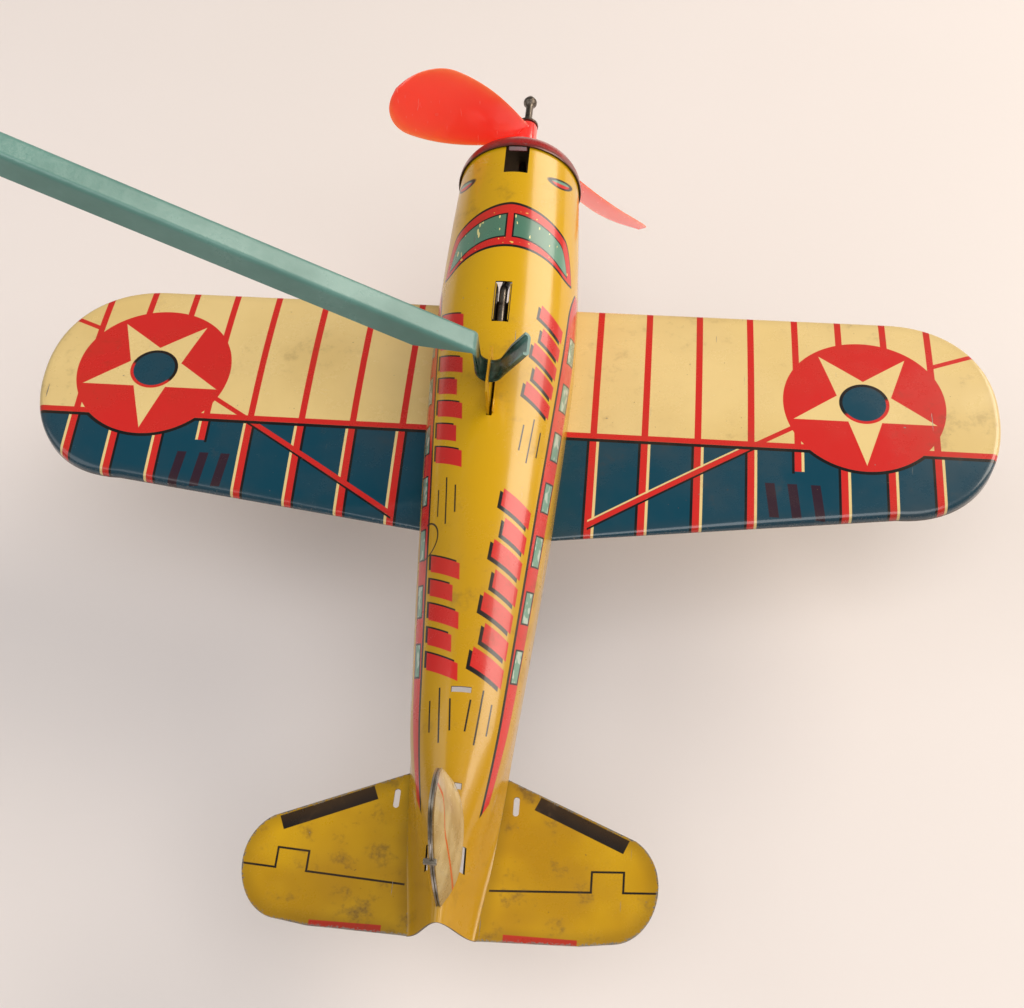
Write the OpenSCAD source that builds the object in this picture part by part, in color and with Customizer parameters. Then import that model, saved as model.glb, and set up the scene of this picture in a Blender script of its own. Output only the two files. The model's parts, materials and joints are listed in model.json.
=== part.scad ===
// Pressed-tin toy monoplane hanging by an eye from the hooked arm of a carousel tower.
// Working frame: the origin lies on the arm's pivot bore. +X is the right wing, +Y the nose, +Z up.
// Modules draw in the airplane's own coordinates (X = 0 on its centre plane, Y = 0 at the hanger
// eye, Z = 0 near the wing), and at_pivot() shifts them into the working frame.

/* [Sheet metal] */
// Thickness of the tinplate
sheet_t = 0.35; // [0.28:0.01:0.45]
// Free play around a bent tab in its slot
tab_play = 0.3; // [0.2:0.05:0.4]

/* [Fuselage] */
// Y of the front rim, under the nose cap
nose_y = 58.2; // [57.8:0.1:58.8]
// Y of the rear edge
tail_y = -95.7; // [-98:0.1:-94]
// Height of the ridge above Z = 0 at the hanger eye
ridge_z = 16.5; // [16.2:0.1:17]
// Fall of the ridge towards the tail, mm per mm
ridge_slope = 0.114; // [0.105:0.001:0.12]
// Half of the greatest width
body_half_w = 14; // [13.6:0.1:14.4]
// Y where the body is widest
widest_y = 15; // [10:0.5:20]
// Half of the width at the front rim
nose_half_w = 12.25; // [12.1:0.01:12.3]
// Narrowing from the widest place to the tail root
tail_taper = 5.6; // [5:0.1:6]
// Z of the open lower edges
body_floor_z = -2.4; // [-2.8:0.1:-2.2]

/* [Tailplane] */
// Z of the tailplane
tail_z = -2.94; // [-3.2:0.02:-2.8]
// Half span of the tailplane
tail_half_span = 34.2; // [32:0.1:36]
// Y where the leading edge leaves the body
tail_root_y = -68; // [-69:0.5:-66]

/* [Wing] */
// Wing span
wing_span = 190.5; // [186:0.5:194]
// Y of the leading edge
wing_le_y = 35.5; // [35:0.1:36]
// Y of the trailing edge at the centre
wing_te_y = -21.7; // [-22.5:0.1:-21]
// Sweep of the trailing edge, mm per mm of span
wing_te_sweep = 0.137; // [0.12:0.001:0.15]
// Depth of the turned-down rim
wing_lip = 1.3; // [1:0.1:1.6]
// How far the wing is stamped off the centre plane, towards the right tip
wing_shift = 1.7; // [0:0.1:2]

/* [Nose cap] */
// Inner radius of the domed cap
cap_inner_r = 12.5; // [12.48:0.01:12.6]
// Height of the dome
cap_rise = 7.35; // [6.8:0.05:7.6]
// Y of the cap's rear edge
cap_rear_y = 56.9; // [56.6:0.1:57.2]

/* [Propeller] */
// Radius of the wire shaft
wire_r = 0.8; // [0.75:0.01:0.9]
// Radial clearance of the running bore on the wire
bore_play = 0.06; // [0.04:0.01:0.1]
// Length of a blade from the shaft to its tip
prop_r = 30.7; // [29:0.1:32]
// Widest chord of a blade
blade_chord = 16.1; // [14:0.1:18]
// Thickness of a blade
blade_t = 0.9; // [0.7:0.05:1.2]
// Direction of the first blade, counted from +X towards +Z
blade_angle = 131.7; // [0:0.1:180]

/* [Tail fin] */
// Z of the fin's highest point
fin_top_z = 31; // [28:0.1:33]
// Half of the spread of the folded sheet at its foot
fin_spread = 2.75; // [2.6:0.05:2.85]

/* [Tower arm] */
// Width of the folded channel
arm_w = 5.1; // [4.8:0.1:5.4]
// Depth of the channel
arm_h = 4.6; // [4.4:0.1:5]
// Thickness of the arm's sheet steel
arm_t = 0.6; // [0.5:0.05:0.7]
// Length from the hook's upper bend to the outer end
arm_len = 100; // [80:1:160]
// Rise of the arm towards the tower, degrees
arm_tilt = 30.6; // [25:0.1:35]
// Radius of the pivot bore
pivot_r = 1.5; // [1.2:0.05:1.6]

/* [Hidden] */
$fn = 48;

yellow = [0.88, 0.66, 0.08];
cream = [0.91, 0.80, 0.55];
cap_red = [0.64, 0.14, 0.18];
blade_red = [1.0, 0.29, 0.18];
arm_green = [0.50, 0.67, 0.61];
steel = [0.45, 0.43, 0.40];
fin_grey = [0.83, 0.82, 0.78];

// --- Places that several pieces share -------------------------------------------------------

// Shaft line, this far under the ridge at the front rim
shaft_depth = 12.45;
shaft_z = ridge_z + ridge_slope * nose_y - shaft_depth;
// Rear and front end of the clamp slot in the roof
clamp_y = [14.9, 24.1];
clamp_w = 2.7;
// Depth of the wire's centre under the ridge in that slot
clamp_depth = 1.4;
// Notch in the front rim, under the cap's tab
notch_w = 4.8;
notch_y = 50.6;
// Width of the narrow slots, and the two that lie across the ridge
slot_w = 1;
cross_slot_w = 3.4;
cross_slot_y = [-58, -74.2];
// Height of the arm's mid line over the hook's straight drop
bend_z = 29.77;
// X of that drop, radius of the hook's bottom bend, and its lowest mid-line Z
hook_x = -2.5;
hook_r = 2.4;
hook_low_z = 21.5;
// Angle and length of the rising tip
tip_angle = 54;
tip_len = 8.7;
// Lips that stiffen the hook, standing up from its sheet
hook_rib = 0.3;
// Hanger bracket: centre plane, thickness, eye and outline
bracket_x = -0.4;
bracket_t = 0.4;
eye_y = [-3.15, 3.15];
eye_z = [18.4, hook_low_z + arm_t / 2 + hook_rib + 0.15];
bracket_y = [-5.4, 5.2];
bracket_top_z = 23.8;
// Y of the tab pairs that hold the wing
wing_tab_y = [-12, 24];
wing_tab_w = 4;
// Feet of the hanger bracket
bracket_foot_y = [-5, 5];
bracket_foot_w = 3;
// Paired slots for the fin's feet
fin_slot_x = 2.75;
fin_slot_y = [-87.1, -83.2];
// Pivot bore, measured along the arm from the bend and down from its mid line
pivot_s = arm_len - 4.2;
pivot_d = 2.1;

function along_arm(s, d) = [hook_x - s * cos(arm_tilt) - d * sin(arm_tilt),
                            bend_z + s * sin(arm_tilt) - d * cos(arm_tilt)];
pivot = along_arm(pivot_s, pivot_d);

module at_pivot() translate([-pivot[0], 0, -pivot[1]]) children();

// Turns a shape drawn in the XY plane and extruded along Z into one drawn in the XZ plane and
// extruded along Y, from y0 over length len
module extrude_y(y0, len) translate([0, y0 + len, 0]) rotate([90, 0, 0]) linear_extrude(len) children();

// The same for a shape drawn in the YZ plane and extruded along X
module extrude_x(x0, len) translate([x0, 0, 0]) rotate([90, 0, 90]) linear_extrude(len) children();

// A ring of revolution about the shaft line, drawn as [radius, y]
module turned_y(outline) translate([0, 0, shaft_z]) rotate([-90, 0, 0]) rotate_extrude($fn = 96)
    polygon(outline);

function mix(a, b, t) = a + (b - a) * t;
function clamp01(t) = min(1, max(0, t));
function ease(t) = t * t * (3 - 2 * t);

// Points of a rounded corner at b, between a and c, with radius r
function corner(a, b, c, r) = let (
        u = (a - b) / norm(a - b),
        v = (c - b) / norm(c - b),
        half = acos(u * v) / 2,
        centre = b + (u + v) / norm(u + v) * r / sin(half),
        start = b + u * r / tan(half) - centre,
        turn = (u[0] * v[1] - u[1] * v[0] > 0 ? -1 : 1) * (180 - 2 * half),
        a0 = atan2(start[1], start[0]))
    [for (k = [0:8]) centre + r * [cos(a0 + turn * k / 8), sin(a0 + turn * k / 8)]];

// Left-hand normal of a line of points at its point k
function line_normal(p, k) = let (
        a = p[max(0, k - 1)],
        b = p[min(len(p) - 1, k + 1)],
        d = (b - a) / norm(b - a))
    [-d[1], d[0]];

// --- Fuselage surface ------------------------------------------------------------------------

// Y where the section begins to flatten towards the tail
tail_start_y = -60;
// Half width of the bell section where the tailplane begins and at the rear edge
tail_root_half = [8.9, 5.6];
// Y where the section begins to close towards the nose, and the length over which it does
nose_start_y = 38;
nose_blend = 12;

function ridge_at(y) = ridge_z + ridge_slope * y;
function half_w_at(y) = y > widest_y
    ? mix(body_half_w, nose_half_w, pow((y - widest_y) / (nose_y - widest_y), 2))
    : body_half_w - tail_taper * pow((widest_y - y) / (widest_y - tail_root_y), 1.3);
// Share of the flat, bell-shaped tail section, 0 ahead of the tail and 1 at the rear edge
function tail_share(y) = ease(clamp01((tail_start_y - y) / (tail_start_y - tail_y)));
// Share of the closed, round nose section
function nose_share(y) = ease(clamp01((y - nose_start_y) / nose_blend));
function root_half_at(y) = mix(tail_root_half[0], tail_root_half[1],
                               clamp01((tail_root_y - y) / (tail_root_y - tail_y)));

// Part of the half section that is the round roof; the rest is the side wall
roof_part = 0.62;
// The nose wall curls inwards by this angle below the shaft line
nose_curl = 55;

function arch(u, y) = let (w = half_w_at(y), a = 90 * (1 - u / roof_part))
    [w * cos(a), ridge_at(y) - w + w * sin(a)];
function side(u, y) = let (
        w = half_w_at(y),
        zc = ridge_at(y) - w,
        n = nose_share(y),
        t = (u - roof_part) / (1 - roof_part),
        curl = t * nose_curl,
        low = mix(body_floor_z, tail_z, tail_share(y)),
        straight = [w, mix(zc, low, t)],
        curled = [w * cos(curl), zc - w * sin(curl)])
    mix(straight, curled, n);
function bell(u, y) = [root_half_at(y) * u, tail_z + (ridge_at(y) - tail_z) * (1 + cos(180 * u)) / 2];
function half_section(u, y) = mix(u < roof_part ? arch(u, y) : side(u, y), bell(u, y), tail_share(y));
// v runs from -1 at the left lower edge over the ridge to 1 at the right one
function skin(v, y) = let (p = half_section(abs(v), y)) [v < 0 ? -p[0] : p[0], p[1]];
function skin_normal(v, y) = let (
        a = skin(v - 0.004, y),
        b = skin(v + 0.004, y),
        d = b - a)
    [-d[1], d[0]] / norm(d);
function skin_point(v, y, depth) = let (p = skin(v, y) - depth * skin_normal(v, y)) [p[0], y, p[1]];

across = 30;
stations = 30;
// The grid stops just short of the lower edges, so that the normal has a neighbour on each side
edge_v = 0.996;
function station_y(k) = mix(nose_y, tail_y, k / stations);
function skin_grid(depth) = [for (k = [0:stations]) for (i = [0:across])
    skin_point(mix(-edge_v, edge_v, i / across), station_y(k), depth)];

// Closed shell between the grid of the outer face and the grid of the inner face
module shell_between(outer, inner, rows, cols) {
    n = (rows + 1) * (cols + 1);
    function id(k, i, s) = s * n + k * (cols + 1) + i;
    faces_out = [for (k = [0:rows - 1]) for (i = [0:cols - 1]) each [
        [id(k, i, 0), id(k, i + 1, 0), id(k + 1, i + 1, 0)],
        [id(k, i, 0), id(k + 1, i + 1, 0), id(k + 1, i, 0)]]];
    faces_in = [for (k = [0:rows - 1]) for (i = [0:cols - 1]) each [
        [id(k, i, 1), id(k + 1, i + 1, 1), id(k, i + 1, 1)],
        [id(k, i, 1), id(k + 1, i, 1), id(k + 1, i + 1, 1)]]];
    faces_ends = [for (i = [0:cols - 1]) each [
        [id(0, i, 0), id(0, i + 1, 1), id(0, i + 1, 0)],
        [id(0, i, 0), id(0, i, 1), id(0, i + 1, 1)],
        [id(rows, i, 0), id(rows, i + 1, 0), id(rows, i + 1, 1)],
        [id(rows, i, 0), id(rows, i + 1, 1), id(rows, i, 1)]]];
    faces_sides = [for (k = [0:rows - 1]) each [
        [id(k, 0, 0), id(k + 1, 0, 0), id(k + 1, 0, 1)],
        [id(k, 0, 0), id(k + 1, 0, 1), id(k, 0, 1)],
        [id(k, cols, 0), id(k + 1, cols, 1), id(k + 1, cols, 0)],
        [id(k, cols, 0), id(k, cols, 1), id(k + 1, cols, 1)]]];
    polyhedron(concat(outer, inner), concat(faces_out, faces_in, faces_ends, faces_sides), convexity = 8);
}

// Tailplane: thickness, overlap with the body's lower edge, radii of the rounded tip towards the
// side, the front and the rear, Y of the tip's centre, last point of the rear edge
tail_t = 0.4;
tail_overlap = 0.45;
tail_tip_r = [7.5, 8.6, 9.6];
tail_tip_y = -84.9;
tail_rear_point = [22, -95.2];
// Corner and size of the slot beside the body
tail_slot = [9.6, -74.5];
tail_slot_size = [1, 3.4];
// Half outline: along the body's lower edge and round the tip
function tail_half_outline() = let (tip_x = tail_half_span - tail_tip_r[0])
    concat([for (k = [8:-1:0]) let (y = mix(tail_root_y, tail_y + 0.05, k / 8))
                [half_section(1, y)[0] - tail_overlap, y]],
           [for (a = [62:-8:-82]) [tip_x + tail_tip_r[0] * cos(a),
                                   tail_tip_y + tail_tip_r[a > 0 ? 1 : 2] * sin(a)]],
           [tail_rear_point]);
module tailplane() for (m = [0, 1]) mirror([m, 0, 0]) translate([0, 0, tail_z - tail_t / 2])
    linear_extrude(tail_t) difference() {
        polygon(tail_half_outline());
        translate(tail_slot) square(tail_slot_size);
    }

// Height of the wing's upper face: highest along crown_y, falling by drop over 22 mm ahead of it
// and behind it
crown_y = 13;
crown_z = 0.45;
crown_drop = [1.5, 1.2];
function wing_top_at(y) = crown_z - crown_drop[y > crown_y ? 0 : 1] * pow((y - crown_y) / 22, 2);

// Everything under the wing's upper face, wider than the body
module wing_seat(x_half, play) extrude_x(-x_half, 2 * x_half) polygon(concat(
    [[wing_te_y - play, -8]],
    [for (k = [0:12]) let (y = mix(wing_te_y - play, wing_le_y + play, k / 12)) [y, wing_top_at(y) + 0.04]],
    [[wing_le_y + play, -8]]));

// Moves to the ridge at height y and leans with it
module on_ridge(y) translate([0, y, ridge_at(y)]) rotate([atan(ridge_slope), 0, 0]) children();

// A slot through the roof, w wide along X and from y[0] to y[1]
module roof_slot(x, w, y) translate([x - w / 2, y[0], ridge_at(y[0]) - 7.5])
    cube([w, y[1] - y[0], 16]);

// The two flaps of the clamp slot, folded down against the shaft wire
module clamp_flaps() on_ridge(clamp_y[0]) extrude_y(0.3, clamp_y[1] - clamp_y[0] - 0.6)
    for (s = [-1, 1]) polygon([for (p = [[1.25, -0.06], [1.65, -0.06], [wire_r + 0.42, -2.4],
                                         [wire_r + 0.05, -2.4]])
        [s * p[0], p[1]]]);

// Tabs that pass through the wing and are bent inwards under it
wing_tab_h = 3.4;
wing_tab_foot = 3;
function wing_tab_x(y) = half_w_at(y) - sheet_t - 0.05;
module wing_tabs() for (s = [-1, 1]) for (y = wing_tab_y) {
    x = wing_tab_x(y);
    foot_z = wing_top_at(y) - sheet_t - 0.55;
    translate([s * x - sheet_t / 2, y - wing_tab_w / 2, foot_z])
        cube([sheet_t, wing_tab_w, wing_tab_h]);
    translate([s > 0 ? x - wing_tab_foot : -x, y - wing_tab_w / 2, foot_z - 0.05])
        cube([wing_tab_foot, wing_tab_w, sheet_t]);
}

module fuselage_shell() color(yellow) at_pivot() {
    difference() {
        shell_between(skin_grid(0), skin_grid(sheet_t), stations, across);
        wing_seat(20, 0.25);
        // Notch for the cap's tab
        roof_slot(0, notch_w, [notch_y, nose_y + 2]);
        // Clamp slot with its wider cross cuts
        roof_slot(0, clamp_w, clamp_y);
        for (y = [clamp_y[0], clamp_y[1] - 0.5]) roof_slot(0, clamp_w + 0.5, [y, y + 0.5]);
        // Slot for the hanger bracket
        roof_slot(bracket_x + 0.2, slot_w, [bracket_y[0] - 0.2, bracket_y[1] + 0.2]);
        // Cross slots and the paired slots under the fin
        for (y = cross_slot_y) roof_slot(0, cross_slot_w, [y - slot_w / 2, y + slot_w / 2]);
        for (s = [-1, 1]) roof_slot(s * fin_slot_x, slot_w, fin_slot_y);
    }
    clamp_flaps();
    wing_tabs();
    tailplane();
}

// --- Wing ------------------------------------------------------------------------------------

// Rounded tip: its length along the span, Y of its outermost point, and the exponent of its curve,
// of which 2 is an ellipse
wing_tip_len = 20.8;
wing_tip_y = 12.25;
tip_power = 2.2;
// Right half of the planform, drawn inset by e from the edge
function wing_half_outline(e) = let (
        half = wing_span / 2 - e,
        tip_x = wing_span / 2 - wing_tip_len,
        front = wing_le_y - e,
        rear = wing_te_y + wing_te_sweep * tip_x + e)
    concat([[0, front]],
           [for (a = [90:-7.5:-90]) let (
                c = pow(abs(cos(a)), 2 / tip_power),
                s = pow(abs(sin(a)), 2 / tip_power))
                [tip_x + (half - tip_x) * c, wing_tip_y + ((a > 0 ? front : rear) - wing_tip_y) * s]],
           [[0, wing_te_y + e]]);
module wing_planform(e) translate([wing_shift, 0]) for (m = [0, 1]) mirror([m, 0])
    polygon(wing_half_outline(e));

module wing_sheet() extrude_x(-wing_span, 2 * wing_span) polygon(concat(
    [for (k = [0:20]) let (y = mix(-26, 40, k / 20)) [y, wing_top_at(y)]],
    [for (k = [20:-1:0]) let (y = mix(-26, 40, k / 20)) [y, wing_top_at(y) - sheet_t]]));
module under_wing_top() extrude_x(-wing_span, 2 * wing_span) polygon(concat(
    [[-26, -9]],
    [for (k = [0:20]) let (y = mix(-26, 40, k / 20)) [y, wing_top_at(y)]],
    [[40, -9]]));

// Rim that follows the planform, from the sheet down by the lip's depth
module wing_rim() intersection() {
    under_wing_top();
    difference() {
        translate([0, 0, wing_top_at(wing_le_y) - sheet_t - wing_lip]) linear_extrude(6) wing_planform(0);
        translate([0, 0, -9]) linear_extrude(18) wing_planform(sheet_t);
    }
}

module wing() color(cream) at_pivot() difference() {
    union() {
        intersection() {
            wing_sheet();
            translate([0, 0, -9]) linear_extrude(18) wing_planform(0);
        }
        wing_rim();
    }
    for (s = [-1, 1]) for (y = wing_tab_y)
        translate([s * wing_tab_x(y) - sheet_t / 2 - tab_play, y - wing_tab_w / 2 - tab_play, -4])
            cube([sheet_t + 2 * tab_play, wing_tab_w + 2 * tab_play, 8]);
    for (y = bracket_foot_y)
        translate([bracket_x - bracket_t / 2 - tab_play, y - bracket_foot_w / 2 - tab_play, -4])
            cube([bracket_t + 2 * tab_play, bracket_foot_w + 2 * tab_play, 8]);
}

// --- Hanger bracket --------------------------------------------------------------------------

// Upright plate: its eye stands over the roof, its shoulders bear on the roof from inside, and
// its feet pass through the wing and are bent over
module hanger_bracket() color(yellow) at_pivot() {
    shoulder = 8;
    corner_cut = 1.2;
    foot_z = -0.9;
    plate_x = bracket_x - bracket_t / 2;
    extrude_x(plate_x, bracket_t) difference() {
        union() {
            polygon([[-shoulder, 0.5], [shoulder, 0.5],
                     [shoulder, ridge_at(shoulder) - sheet_t - 0.15],
                     [-shoulder, ridge_at(-shoulder) - sheet_t - 0.15]]);
            polygon([[bracket_y[0], shoulder], [bracket_y[1], shoulder],
                     [bracket_y[1], bracket_top_z - corner_cut],
                     [bracket_y[1] - corner_cut, bracket_top_z],
                     [bracket_y[0] + corner_cut, bracket_top_z],
                     [bracket_y[0], bracket_top_z - corner_cut]]);
            for (y = bracket_foot_y) translate([y - bracket_foot_w / 2, foot_z])
                square([bracket_foot_w, 3]);
        }
        translate([eye_y[0], eye_z[0]]) square([eye_y[1] - eye_y[0], eye_z[1] - eye_z[0]]);
    }
    for (y = bracket_foot_y) translate([plate_x, y - bracket_foot_w / 2, foot_z - 0.35])
        cube([3, bracket_foot_w, bracket_t]);
}

// --- Tail fin --------------------------------------------------------------------------------

fin_t = 0.3;
// Half thickness where the two walls meet along the upper edge
fin_edge = 0.34;
fin_mid_y = -85.6;
fin_foot_y = [-73.4, -93.4];
// Radii of the curve over the fin's front
fin_front_r = [7.7, 9.5];

// Height of the body's skin over the point x, y, found by halving the range of u
function skin_u(x, y, lo, hi, n) = let (m = (lo + hi) / 2)
    n == 0 ? m : half_section(m, y)[0] < x ? skin_u(x, y, m, hi, n - 1) : skin_u(x, y, lo, m, n - 1);
function skin_z(x, y) = half_section(skin_u(x, y, 0, 0.8, 12), y)[1];

// Upper edge of the fin as [y, z], from the end of the straight front fold (s = 0) to the rear
// (s = 1): a quarter ellipse over the front and a taller one down to the foot behind
function fin_top(s) = s < 0.4
    ? let (a = mix(15, 90, s / 0.4))
        [fin_mid_y + fin_front_r[0] * cos(a), fin_top_z - fin_front_r[1] * (1 - sin(a))]
    : let (a = mix(90, 180, (s - 0.4) / 0.6), low = skin_z(0, fin_foot_y[1]) + 0.8)
        [fin_mid_y + (fin_mid_y - fin_foot_y[1]) * cos(a), low + (fin_top_z - low) * sin(a)];
function fin_half_at(s) = fin_edge + (fin_spread - fin_edge) * (1 - pow(abs(2 * s - 1), 2.6));
// Point of the folded sheet: c runs from -1 at the left wall's rear end over the front fold to 1 at
// the right wall's rear end, and h from 0 at the foot to 1 at the upper edge
function fin_point(c, h, depth) = let (
        s = abs(c),
        foot_y = mix(fin_foot_y[0], fin_foot_y[1], s),
        x_foot = s == 0 ? 0 : fin_half_at(s),
        x_in = s == 0 ? 0 : depth,
        x = mix(x_foot, s == 0 ? 0 : fin_edge, h) - x_in,
        foot_z = skin_z(x_foot - x_in, foot_y) + 0.06,
        top = fin_top(s))
    [c < 0 ? -x : x, mix(foot_y, top[0], h) - (s == 0 ? depth : 0), mix(foot_z, top[1], h)];

fin_cols = 32;
fin_rows = 8;
function fin_grid(depth) = [for (r = [0:fin_rows]) for (i = [0:fin_cols])
    fin_point(mix(1, -1, i / fin_cols), r / fin_rows, depth)];

module tail_fin() color(fin_grey) at_pivot() {
    shell_between(fin_grid(fin_t), fin_grid(0), fin_rows, fin_cols);
    // Feet in the paired slots
    for (s = [-1, 1]) {
        foot_x = s * (fin_spread - fin_t / 2);
        foot_z = skin_z(fin_spread, fin_slot_y[0]);
        translate([foot_x - fin_t / 2, fin_slot_y[0] + 0.3, foot_z - 1.6])
            cube([fin_t, fin_slot_y[1] - fin_slot_y[0] - 0.6, 2.8]);
    }
    // Ear that crimps the walls together at the rear edge
    translate([-1.3, fin_top(0.75)[0] - 0.3, fin_top(0.75)[1] - 0.5]) cube([2.1, 0.9, 0.8]);
}

// --- Nose cap, shaft, washer and propeller ----------------------------------------------------

// Y of the plane from which the cap's dome rises
dome_y = 57.6;
cap_r = cap_inner_r + sheet_t;
module nose_cap() color(cap_red) at_pivot() {
    dome = [for (a = [0:6:84]) [cap_r * cos(a), dome_y + cap_rise * sin(a)]];
    inside = [for (a = [84:-6:0]) [cap_inner_r * cos(a), dome_y + (cap_rise - sheet_t) * sin(a)]];
    turned_y(concat([[cap_r, cap_rear_y]], dome, [[wire_r, dome_y + cap_rise]],
                    [[wire_r, dome_y + cap_rise - sheet_t]], inside, [[cap_inner_r, cap_rear_y]]));
    // Tab folded back into the notch of the cowl
    tab = [4, 2.8, sheet_t];
    translate([-tab[0] / 2, cap_rear_y + 0.6, shaft_z + cap_r - sheet_t / 2]) rotate([35, 0, 0])
        translate([0, 0.2 - tab[1], -sheet_t]) cube(tab);
}

wire_tip_y = 85.7;
// Radius of the crimped knob that keeps the propeller on
knob_r = 1.45;
// Y where the straight wire ends and its bent tail begins
wire_bend_y = 36;
wire_bend_r = 3.5;
// The tail of the wire rises to the roof, lies in the clamp slot and dips under the roof again
wire_tail = let (
        start = [wire_bend_y + 1.5, shaft_z],
        low = [33, shaft_z],
        front = [21.6, ridge_at(21.6) - clamp_depth],
        rear = [15.8, ridge_at(15.8) - clamp_depth],
        tip = [12.2, ridge_at(12.2) - clamp_depth - 1.5])
    concat([start], corner(start, low, front, wire_bend_r), corner(low, front, rear, wire_bend_r),
           corner(front, rear, tip, wire_bend_r), [tip]);

// Round wire of radius r along [y, z] points in the centre plane
module bent_wire(path, r) {
    sides = 16;
    last = len(path) - 1;
    points = [for (k = [0:last]) let (n = line_normal(path, k)) for (i = [0:sides - 1])
        let (a = 360 * i / sides)
        [r * cos(a), path[k][0] + r * sin(a) * n[0], path[k][1] + r * sin(a) * n[1]]];
    wall = [for (k = [0:last - 1]) for (i = [0:sides - 1]) let (j = (i + 1) % sides)
        [k * sides + i, k * sides + j, (k + 1) * sides + j, (k + 1) * sides + i]];
    ends = [[for (i = [sides - 1:-1:0]) i], [for (i = [0:sides - 1]) last * sides + i]];
    polyhedron(points, concat(wall, ends), convexity = 4);
}

module propeller_shaft() color(steel) at_pivot() {
    translate([0, wire_bend_y, shaft_z]) rotate([-90, 0, 0])
        cylinder(h = wire_tip_y - 1 - wire_bend_y, r = wire_r);
    bent_wire(wire_tail, wire_r - 0.01);
    turned_y([[0, wire_tip_y - 2.7], [wire_r, wire_tip_y - 2.7], [knob_r, wire_tip_y - 1.9],
              [knob_r, wire_tip_y - 1.2], [knob_r / 2, wire_tip_y], [0, wire_tip_y]]);
}

boss_y = [65.3, 76.3];
boss_r = 2.25;

washer_r = 2.3;
washer_y = [boss_y[1] + 0.2, boss_y[1] + 0.7];
module shaft_washer() color(steel) at_pivot()
    turned_y([[wire_r, washer_y[0]], [washer_r, washer_y[0]], [washer_r, washer_y[1]],
              [wire_r, washer_y[1]]]);

// Blade: radius of its widest place, chord at the boss, and pitch at the boss and at the tip
lobe_r = 23.1;
root_chord = 2.6;
blade_pitch = [41, 35];
// Y of its middle line at the shaft and at the tip, and the rearward bow of that line
blade_y = [73.6, 70.6];
blade_bow = 1.95;
// Growth of the set-back along the chord that gives the blade its scimitar curve
blade_rake = [3.23, 5];
function chord_at(r) = r > lobe_r
    ? blade_chord * sqrt(max(0.02, 1 - pow((r - lobe_r) / (prop_r - lobe_r), 2)))
    : mix(root_chord, blade_chord, sin(90 * clamp01((r - 2) / (lobe_r - 2))));
function pitch_at(r) = mix(blade_pitch[0], blade_pitch[1], pow(r / prop_r, 4));

// Point of a blade section: c from -1 (rear edge) to 1 (forward edge), side +1 or -1
function blade_point(r, c, side) = let (
        b = pitch_at(r),
        t = r / prop_r,
        y = mix(blade_y[0], blade_y[1], t) - blade_bow * 4 * t * (1 - t),
        set_back = blade_rake[0] * t + blade_rake[1] * t * t,
        thick = side * blade_t / 2 * (1 - 0.75 * c * c),
        along = [0, sin(b), -cos(b)],
        out = [0, cos(b), sin(b)])
    [r, y, 0] + (c * chord_at(r) / 2 - set_back) * along + thick * out;

module blade() {
    radii = concat([for (k = [0:12]) mix(1.2, lobe_r, k / 12)],
                   [for (a = [78:-13:0]) lobe_r + (prop_r - lobe_r) * cos(a)]);
    cols = 6;
    rows = len(radii) - 1;
    front = [for (r = radii) for (i = [0:cols]) blade_point(r, mix(-1, 1, i / cols), 1)];
    back = [for (r = radii) for (i = [0:cols]) blade_point(r, mix(-1, 1, i / cols), -1)];
    shell_between(front, back, rows, cols);
}

module propeller() color(blade_red) at_pivot() difference() {
    union() {
        for (turn = [0, 180]) translate([0, 0, shaft_z]) rotate([0, -blade_angle - turn, 0]) blade();
        turned_y([[0, boss_y[0]], [boss_r, boss_y[0]], [boss_r, boss_y[1]], [0, boss_y[1]]]);
    }
    translate([0, boss_y[0] - 3, shaft_z]) rotate([-90, 0, 0])
        cylinder(h = boss_y[1] - boss_y[0] + 6, r = wire_r + bore_play);
}

// --- Tower arm -------------------------------------------------------------------------------

// Bend radius between the arm and the hook's drop
bend_r = 1.2;
// Width of the lips along the hook's edges
lip_w = 0.7;
hook_centre = [hook_x + hook_r, hook_low_z + hook_r];
rise_start = hook_centre + hook_r * [sin(tip_angle), -cos(tip_angle)];
hook_tip = rise_start + tip_len * [cos(tip_angle), sin(tip_angle)];
// Where the drop and the rising tip would meet without their bend
hook_corner = [hook_x, rise_start[1] - (rise_start[0] - hook_x) * tan(tip_angle)];
drop_line = concat([[hook_x, bend_z - 1.6]], corner([hook_x, bend_z], hook_corner, hook_tip, hook_r),
                   [hook_tip]);
arm_line = concat([along_arm(arm_len, 0)],
                  corner(along_arm(arm_len, 0), [hook_x, bend_z], hook_corner, bend_r),
                  [for (k = [1:len(drop_line) - 1]) drop_line[k]]);

// Strip that follows a line, from offset lo to offset hi on its left
module ribbon(line, lo, hi) polygon(concat(
    [for (k = [0:len(line) - 1]) line[k] + hi * line_normal(line, k)],
    [for (k = [len(line) - 1:-1:0]) line[k] + lo * line_normal(line, k)]));

module tower_arm() color(arm_green) at_pivot() difference() {
    union() {
        extrude_y(-arm_w / 2, arm_w) ribbon(arm_line, -arm_t / 2, arm_t / 2);
        for (y = [-arm_w / 2, arm_w / 2 - lip_w])
            extrude_y(y, lip_w) ribbon(drop_line, -arm_t / 2, arm_t / 2 + hook_rib);
        for (y = [-arm_w / 2, arm_w / 2 - arm_t]) extrude_y(y, arm_t)
            polygon([along_arm(1.2, 0), along_arm(arm_len, 0), along_arm(arm_len, arm_h - 1),
                     along_arm(arm_len - 1, arm_h), along_arm(10, arm_h), along_arm(1.2, 0.7)]);
    }
    translate([pivot[0], -arm_w, pivot[1]]) rotate([-90, 0, 0]) cylinder(h = 2 * arm_w, r = pivot_r);
}

tower_arm();
fuselage_shell();
wing();
hanger_bracket();
tail_fin();
nose_cap();
propeller_shaft();
propeller();
shaft_washer();
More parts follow.
